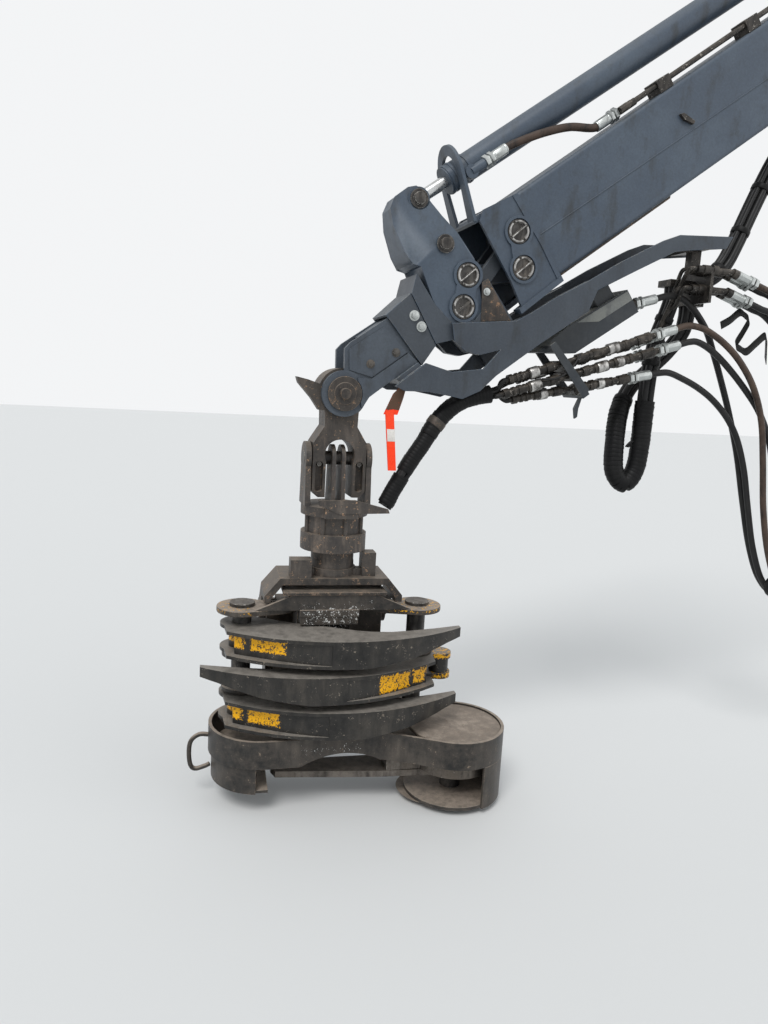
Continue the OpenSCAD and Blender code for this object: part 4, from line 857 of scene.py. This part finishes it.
def leaving(face, way):
    return [face + END_GAP * way, face + LEAD * way]


def row_end(row):
    way, end = on_row(row, ROW_ENDS[row])
    return leaving(end + FERRULE * way, way)


def elbow_end(which):
    face = elbow_mouth(which)
    return [face + ELBOW_LEAD * ELBOW_WAY, face + END_GAP * ELBOW_WAY]


def route(rows):
    return [hanging(*row) for row in rows]


HOSES = {
    "hose_1": leaving(BLOCK_END + FERRULE * BLOCK_WAY, BLOCK_WAY) + route([
        (1338, -22, 450), (1376, -26, 440), (1410, -30, 418), (1440, -34, 390), (1500, -30, 326),
        (1560, -8, 248), (1620, 12, 160), (1690, 14, 10), (1760, 14, -170), (1820, 14, -370),
        (1885, 14, -570), (1960, 14, -720), (2050, 14, -790), (2140, 12, -720), (2175, 8, -520),
        (2150, 2, -260), (2070, -8, 20), (1940, -18, 270), (1790, -26, 396)]) + elbow_end(3),
    "hose_2": row_end(0) + route([
        (1412, -82, 333), (1470, -83, 318), (1560, -84, 270), (1643, -84, 202), (1720, -84, 105),
        (1780, -84, -30), (1815, -84, -200), (1850, -84, -400), (1905, -84, -590), (1980, -84, -735),
        (2070, -84, -785), (2150, -85, -700), (2190, -86, -500), (2170, -88, -240), (2100, -90, 40),
        (1970, -92, 300), (1800, -95, 462)]) + elbow_end(0),
    "hose_3": row_end(2) + route([
        (1436, -73, 274), (1510, -64, 246), (1600, -54, 190), (1700, -52, 105), (1790, -52, 10),
        (1860, -52, -110), (1910, -52, -270), (1950, -52, -450), (2000, -52, -630), (2080, -52, -730),
        (2150, -53, -640), (2185, -56, -460), (2160, -60, -220), (2080, -64, 40), (1940, -68, 280),
        (1790, -72, 398)]) + elbow_end(2),
    "hose_4": row_end(4) + route([
        (1340, -43, 148), (1400, -36, 132), (1490, -24, 100), (1577, -20, 52), (1660, -20, -20),
        (1725, -20, -110), (1780, -20, -240), (1825, -20, -400), (1880, -20, -580), (1955, -20, -730),
        (2050, -20, -790), (2140, -21, -710), (2180, -24, -510), (2160, -30, -250), (2090, -38, 30),
        (1960, -46, 290), (1800, -50, 460)]) + elbow_end(1),
}
BUNDLE = route([
    (1372, 42, 491.6), (1372, 42, 450), (1362, 50, 390), (1335, 60, 290), (1318, 60, 160), (1312, 60, 0),
    (1310, 60, -160), (1296, 60, -262), (1252, 62, -314), (1206, 70, -262), (1204, 84, -150),
    (1226, 110, -20), (1285, 142, 80), (1370, 150, 160), (1436, 126, 240), (1466, 84, 320),
    (1470, 70, 380), (1470, 70, 424.6)])
SLEEVE = route([(560, -46, 24), (512, -44, 14), (466, -42, -2), (424, -40, -28), (388, -40, -62),
                (358, -40, -100), (334, -40, -140)])

# Radii of the hoses, how the bundle's tubes spread, where it is taped, and its ties in millimetres along it
HOSE_RADIUS = 0.013
BUNDLE_TUBE = 0.0145
BUNDLE_SPREAD = 0.0185
TAPED_BELOW = TIP.z + 0.04
BUNDLE_TIES = [130, 225, 310]


def hoses():
    for name, points in HOSES.items():
        finish = BROWN_HOSE if name == "hose_2" else None
        piece = hose(name + "_tube", [rounded(points)], HOSE_RADIUS, "knuckle", finish)
        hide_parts(name)
    line = rounded(BUNDLE, 8)
    tubes = [beside(line, BUNDLE_SPREAD, 45 + 90 * k) for k in range(4)]
    piece = hose("bundle_tubes", tubes, BUNDLE_TUBE, "knuckle")
    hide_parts("hose_bundle")
    taped = [point for point in line if point.z < TAPED_BELOW]
    tape = wraps(taped, radius=0.0385, pitch=0.017, draw=random.Random(4))
    fitted(tape, "bundle_tape", "hose_rubber", "knuckle", TAPE)
    ties = bands(line, BUNDLE_TIES, radius=0.037, length=0.024)
    fitted(ties, "bundle_ties", "hose_rubber", "knuckle", TAPE)


# The rotator's hoses: a ringed and clamped sleeve, then three hoses in two lengths that meet at the hanger
LOWER = route([(334, -40, -140), (321, -40, -163), (304, -40, -190), (284, -40, -220), (263, -40, -254),
               (244, -40, -289), (226, -40, -322), (208, -40, -354), (194, -40, -384), (180, -40, -408)])
LOWER_SPLIT = 5
LOWER_SPREAD = 0.0165
CLAMP_AT = 236


def rotator_hoses():
    draw = random.Random(9)
    line = rounded(SLEEVE, 8)
    piece = hose("sleeve_core", [line], radius=0.031, body="knuckle", finish=TAPE, round_steps=5)
    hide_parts("hose_sleeve")
    rings = wraps(line, radius=0.0325, pitch=0.014, draw=draw, tilt=0.02, flare=1.045)
    fitted(rings, "sleeve_rings", "hose_rubber", "knuckle", TAPE)
    clamp = bands(line, [CLAMP_AT], radius=0.0362, length=0.03, sides=32)
    fitted(clamp, "sleeve_clamp", "rusty_steel", "knuckle", RUST_PLATE)
    steps = 6
    lower = rounded(LOWER, steps)
    half = steps * LOWER_SPLIT
    for name, part, bodies in (("upper", lower[:half + 1], ("knuckle", "hanger")),
                               ("lower", lower[half:], ("hanger", "rotator"))):
        runs = [beside(part, LOWER_SPREAD, turn) for turn in (90, 210, 330)]
        piece = hose("rotator_hoses_" + name, runs, radius=0.0135, body=None)
        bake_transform(piece)
        rings = wraps(part[2:-2], radius=0.0305, pitch=0.013, draw=draw, tilt=0.02)
        band = fitted(rings, "rotator_sleeve_" + name, "hose_rubber", None, TAPE)
        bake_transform(band)


# Small hoses from the couplers into the sleeve: start, dip in degrees, and place in the sleeve's mouth
SMALL_HOSES = [((609, -82, 77), 18.3, -14, 8), ((594, -76, 22), 19.6, 0, -12), ((645, -46, 8), 25, 14, 4),
               ((676, -18, 83), 18.3, 8, 14), ((684, -18, 43), 19.6, -8, -2)]

# A thin line that loops below the rows
PILOT_LINE = route([(905, -96, 196), (880, -100, 150), (840, -102, 112), (800, -100, 96), (752, -98, 92)])


def small_hoses():
    runs = []
    outward = (SLEEVE[0] - SLEEVE[1]).normalized()
    for place, slope, across, up in SMALL_HOSES:
        start = hanging(*place)
        way = boom_way(slope)
        goal = SLEEVE[0] + MM * Vector((0, across, up))
        knots = [start + 0.02 * way, start - 0.012 * way, goal + 0.030 * outward, goal - 0.02 * outward]
        runs.append(rounded(knots, 10))
    hose("small_hoses", runs, radius=0.0098, body="knuckle")
    hose("pilot_line", [rounded(PILOT_LINE, 8)], radius=0.004, body="knuckle", round_steps=3)


# Metal tubes that bend from the wall's back, behind each elbow, into the bundle
WALL_BACK = WALL_X - 54


def wall_tubes():
    runs = []
    for y, z in ELBOWS:
        start = hanging(WALL_BACK, y, z)
        spread = (y + 60) * 0.25
        bends = [start + MM * Vector((-34, 0, -4)), hanging(1352, y * 0.5 + 20, z - 62),
                 hanging(1346 + spread, 34 + y * 0.2, 392), hanging(1338 + spread, 48 + y * 0.1, 330)]
        runs.append(rounded([start, *bends], 8))
    fitted(bars(runs, radius=0.0085), "wall_tubes", "coupler_steel", "knuckle", sharp=60)


# Bundle that climbs from the wall to the boom's underside
RISER = route([(1446, 36, 512), (1498, 38, 524), (1556, 40, 556), (1602, 40, 610), (1640, 40, 690),
               (1684, 40, 800), (1730, 40, 910), (1786, 40, 1030), (1856, 36, 1150), (1942, 30, 1268),
               (2040, 24, 1376)])
RISER_TIES = [150, 330, 520, 700]
RISER_SPREAD = 0.0235


def riser():
    line = rounded(RISER, 8)
    runs = [beside(line, RISER_SPREAD, turn) for turn in range(0, 360, 60)]
    piece = hose("riser_hoses", [*runs, line], radius=0.0125, body=None, round_steps=3)
    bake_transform(piece)
    ties = bands(line, RISER_TIES, radius=0.0385, length=0.022)
    piece = fitted(ties, "riser_ties", "hose_rubber", None, TAPE)
    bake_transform(piece)


# The front hose of the cylinder, back along it to the boom's pipes, with its pale ends
PORT = on_boom(879.2, 379.6, -64)
PORT_ROOT = on_boom(818.8, 379.1, -64)
PIPE = on_boom(1423.6, 265, -60)
CYLINDER_RUN = [on_boom(1040, 372, -66), on_boom(1130, 352, -67), on_boom(1230, 318, -66)]


def cylinder_hose():
    way = (PORT - PORT_ROOT).normalized()
    pipe_way = boom_way(0)
    line = rounded([PORT + 0.03 * way, PORT + 0.105 * way, *CYLINDER_RUN, PIPE - 0.100 * pipe_way,
                    PIPE - 0.03 * pipe_way], 8)
    tube = hose("cylinder_hose", [line], radius=0.0145, body=None, finish=BROWN_HOSE)
    ends = [turned_to(way, PORT), turned_to(-pipe_way, PIPE)]
    shells = fitted(copies(crimp(), ends), "cylinder_hose_ends", "coupler_steel", None, ZINC)
    for piece in (tube, shells):
        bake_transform(piece)


# Flat straps: a zigzag between the hoses, a loop at their low bend, and one that hangs from the bundle
ZIGZAG = route([(1541, -60, 348), (1582, -60, 372), (1623, -60, 405), (1650, -60, 396), (1673, -60, 377),
                (1652, -60, 330), (1625, -60, 279), (1650, -60, 262), (1681, -60, 254), (1722, -60, 290),
                (1764, -60, 322), (1774, -60, 276), (1780, -60, 222)])
ZIGZAG_LEAN = Vector((0.25, 0.6, 0.75))
LOOP_MIDDLE = hanging(1990, -62, -745)
LOOP_RADIUS = 0.048
STRAP_AT = 620
STRAP_POINTS = [(34, 20), (0, 6), (-40, -16), (-62, -40), (-40, -30)]


def straps():
    zigzag = strap(rounded(ZIGZAG, 6), width=0.042, lean=ZIGZAG_LEAN)
    fitted(zigzag, "zigzag_strap", "hose_rubber", "knuckle", TAPE, sharp=50)
    turns = [math.tau * k / 30 for k in range(31)]
    loop = [LOOP_MIDDLE + LOOP_RADIUS * Vector((math.cos(a), 0, math.sin(a))) for a in turns]
    fitted(strap(loop, width=0.030), "strap_loop", "hose_rubber", "knuckle", TAPE, sharp=50)
    spot = stations(rounded(BUNDLE, 8), MM)[STRAP_AT][0]
    points = [spot + MM * Vector((x, 0, z)) for x, z in STRAP_POINTS]
    short = strap(rounded(points, 6), width=0.024)
    fitted(short, "bundle_strap", "hose_rubber", "knuckle", TAPE, sharp=50)


# Weld beads: fine ripples along a line
RIPPLE = 0.006
RIPPLE_SWELL = (0.72, 1.0)
BOOM_SEAM = [(914, 67), (3000, 50)]
BOOM_SEAM_Y = 105.2
GUSSET_SEAM = [(552, -61), (652, -125)]
GUSSET_SEAM_Y = -106


def bead(name, body, lines, radius):
    runs = [[spot for spot, _ in stations(line, RIPPLE)] for line in lines]
    fitted(bars(runs, radius, round_steps=2, swell=RIPPLE_SWELL), name, "boom_paint", body, sharp=60)


def weld_beads():
    seams = [[on_boom(x, z, side * BOOM_SEAM_Y) for x, z in BOOM_SEAM] for side in (-1, 1)]
    bead("boom_weld_lines", "boom", seams, radius=0.0028)
    bead("gusset_weld", "knuckle", [[on_boom(x, z, GUSSET_SEAM_Y) for x, z in GUSSET_SEAM]], radius=0.004)


# Rusty faces of the gussets between the knuckle plates and the guard, with the near one's bolt
GUSSET = [(633, 47), (659, 45), (655, -126), (556, -66)]
GUSSET_FACE = 113.4
GUSSET_BOLT = on_boom(630, 10, -114.9)


def gusset():
    skins = plates_on_sides(GUSSET, GUSSET_FACE, thickness=0.0030, bevel=0.0006)
    fitted(skins, "gusset_skins", "rusty_steel", "knuckle", RUST_PLATE)
    frames = [turned_to(Vector((0, -1, 0)), GUSSET_BOLT)]
    set_bolts("gusset_bolt", "knuckle", frames, across=0.017, height=0.008, finish=ZINC)


# Upper strip of the valve block's sides, pale with painted sky light: a pale paint and dust veil standing in for
# the light on these faces
BLOCK_STRIP = [(905, -291), (1147, -307), (1147, -346), (985, -338)]
BLOCK_FACE = 60.8


def block_faces():
    faces = plates_on_sides(BLOCK_STRIP, BLOCK_FACE, thickness=0.0014, bevel=0.0004)
    fitted(faces, "block_faces", "boom_paint", "knuckle", SKY_LIT_PAINT)


# White band on the marker's two faces, by its corners in plumb axes
BAND = [(160.0, -118), (189.2, -118), (193.0, -162), (164.0, -162)]
BAND_FACES = {"marker_band": -94.4, "marker_band_back": -87.6}


def marker_band():
    for name, y in BAND_FACES.items():
        piece = plate([hanging(x, y, z) for x, z in BAND], thickness=0.0006, bevel=0.0001)
        fitted(piece, name, "marker_orange", "knuckle", WHITE_BAND)


pin_rings()
base_handle()
bolts()
ferrules()
coupler_shells()
hoses()
rotator_hoses()
small_hoses()
wall_tubes()
riser()
cylinder_hose()
straps()
weld_beads()
gusset()
block_faces()
marker_band()


# Floor and light
def floor():
    bpy.ops.object.select_all(action="DESELECT")
    bpy.ops.mesh.primitive_plane_add(size=60, location=(TIP.x, 0, FLOOR_Z))
    ground = bpy.context.object
    ground.name = "floor"
    material = bpy.data.materials.new("pale_floor")
    material.use_nodes = True
    shader = material.node_tree.nodes["Principled BSDF"]
    shader.inputs["Base Color"].default_value = rgb((0.60, 0.60, 0.59))
    shader.inputs["Roughness"].default_value = 0.85
    ground.data.materials.append(material)


def sun(name, strength, spread, azimuth, height):
    data = bpy.data.lights.new(name, "SUN")
    data.energy = strength
    data.angle = math.radians(spread)
    lamp = bpy.data.objects.new(name, data)
    lamp.rotation_euler = (math.radians(90 - height), 0, math.radians(azimuth))
    bpy.context.scene.collection.objects.link(lamp)


def sky():
    world = bpy.data.worlds.new("plain_sky")
    bpy.context.scene.world = world
    world.use_nodes = True
    tree = world.node_tree
    tree.nodes.clear()
    path = node(tree, "LightPath").outputs
    mirrored = maths(tree, "MAXIMUM", path["Is Glossy Ray"], path["Is Transmission Ray"])
    seen = maths(tree, "MAXIMUM", path["Is Camera Ray"], mirrored)
    lighting = node(tree, "Background", {"Color": rgb((0.90, 0.95, 1.0)), "Strength": 0.75})
    backdrop = node(tree, "Background", {"Color": rgb((0.90, 0.91, 0.92)), "Strength": 1.0})
    both = node(tree, "MixShader", {0: seen})
    tree.links.new(lighting.outputs[0], both.inputs[1])
    tree.links.new(backdrop.outputs[0], both.inputs[2])
    output = node(tree, "OutputWorld")
    tree.links.new(both.outputs[0], output.inputs["Surface"])


floor()
sky()
sun("key", strength=1.9, spread=25, azimuth=-35, height=52)
sun("fill", strength=0.5, spread=60, azimuth=60, height=25)

bpy.context.scene.view_settings.view_transform = "Standard"
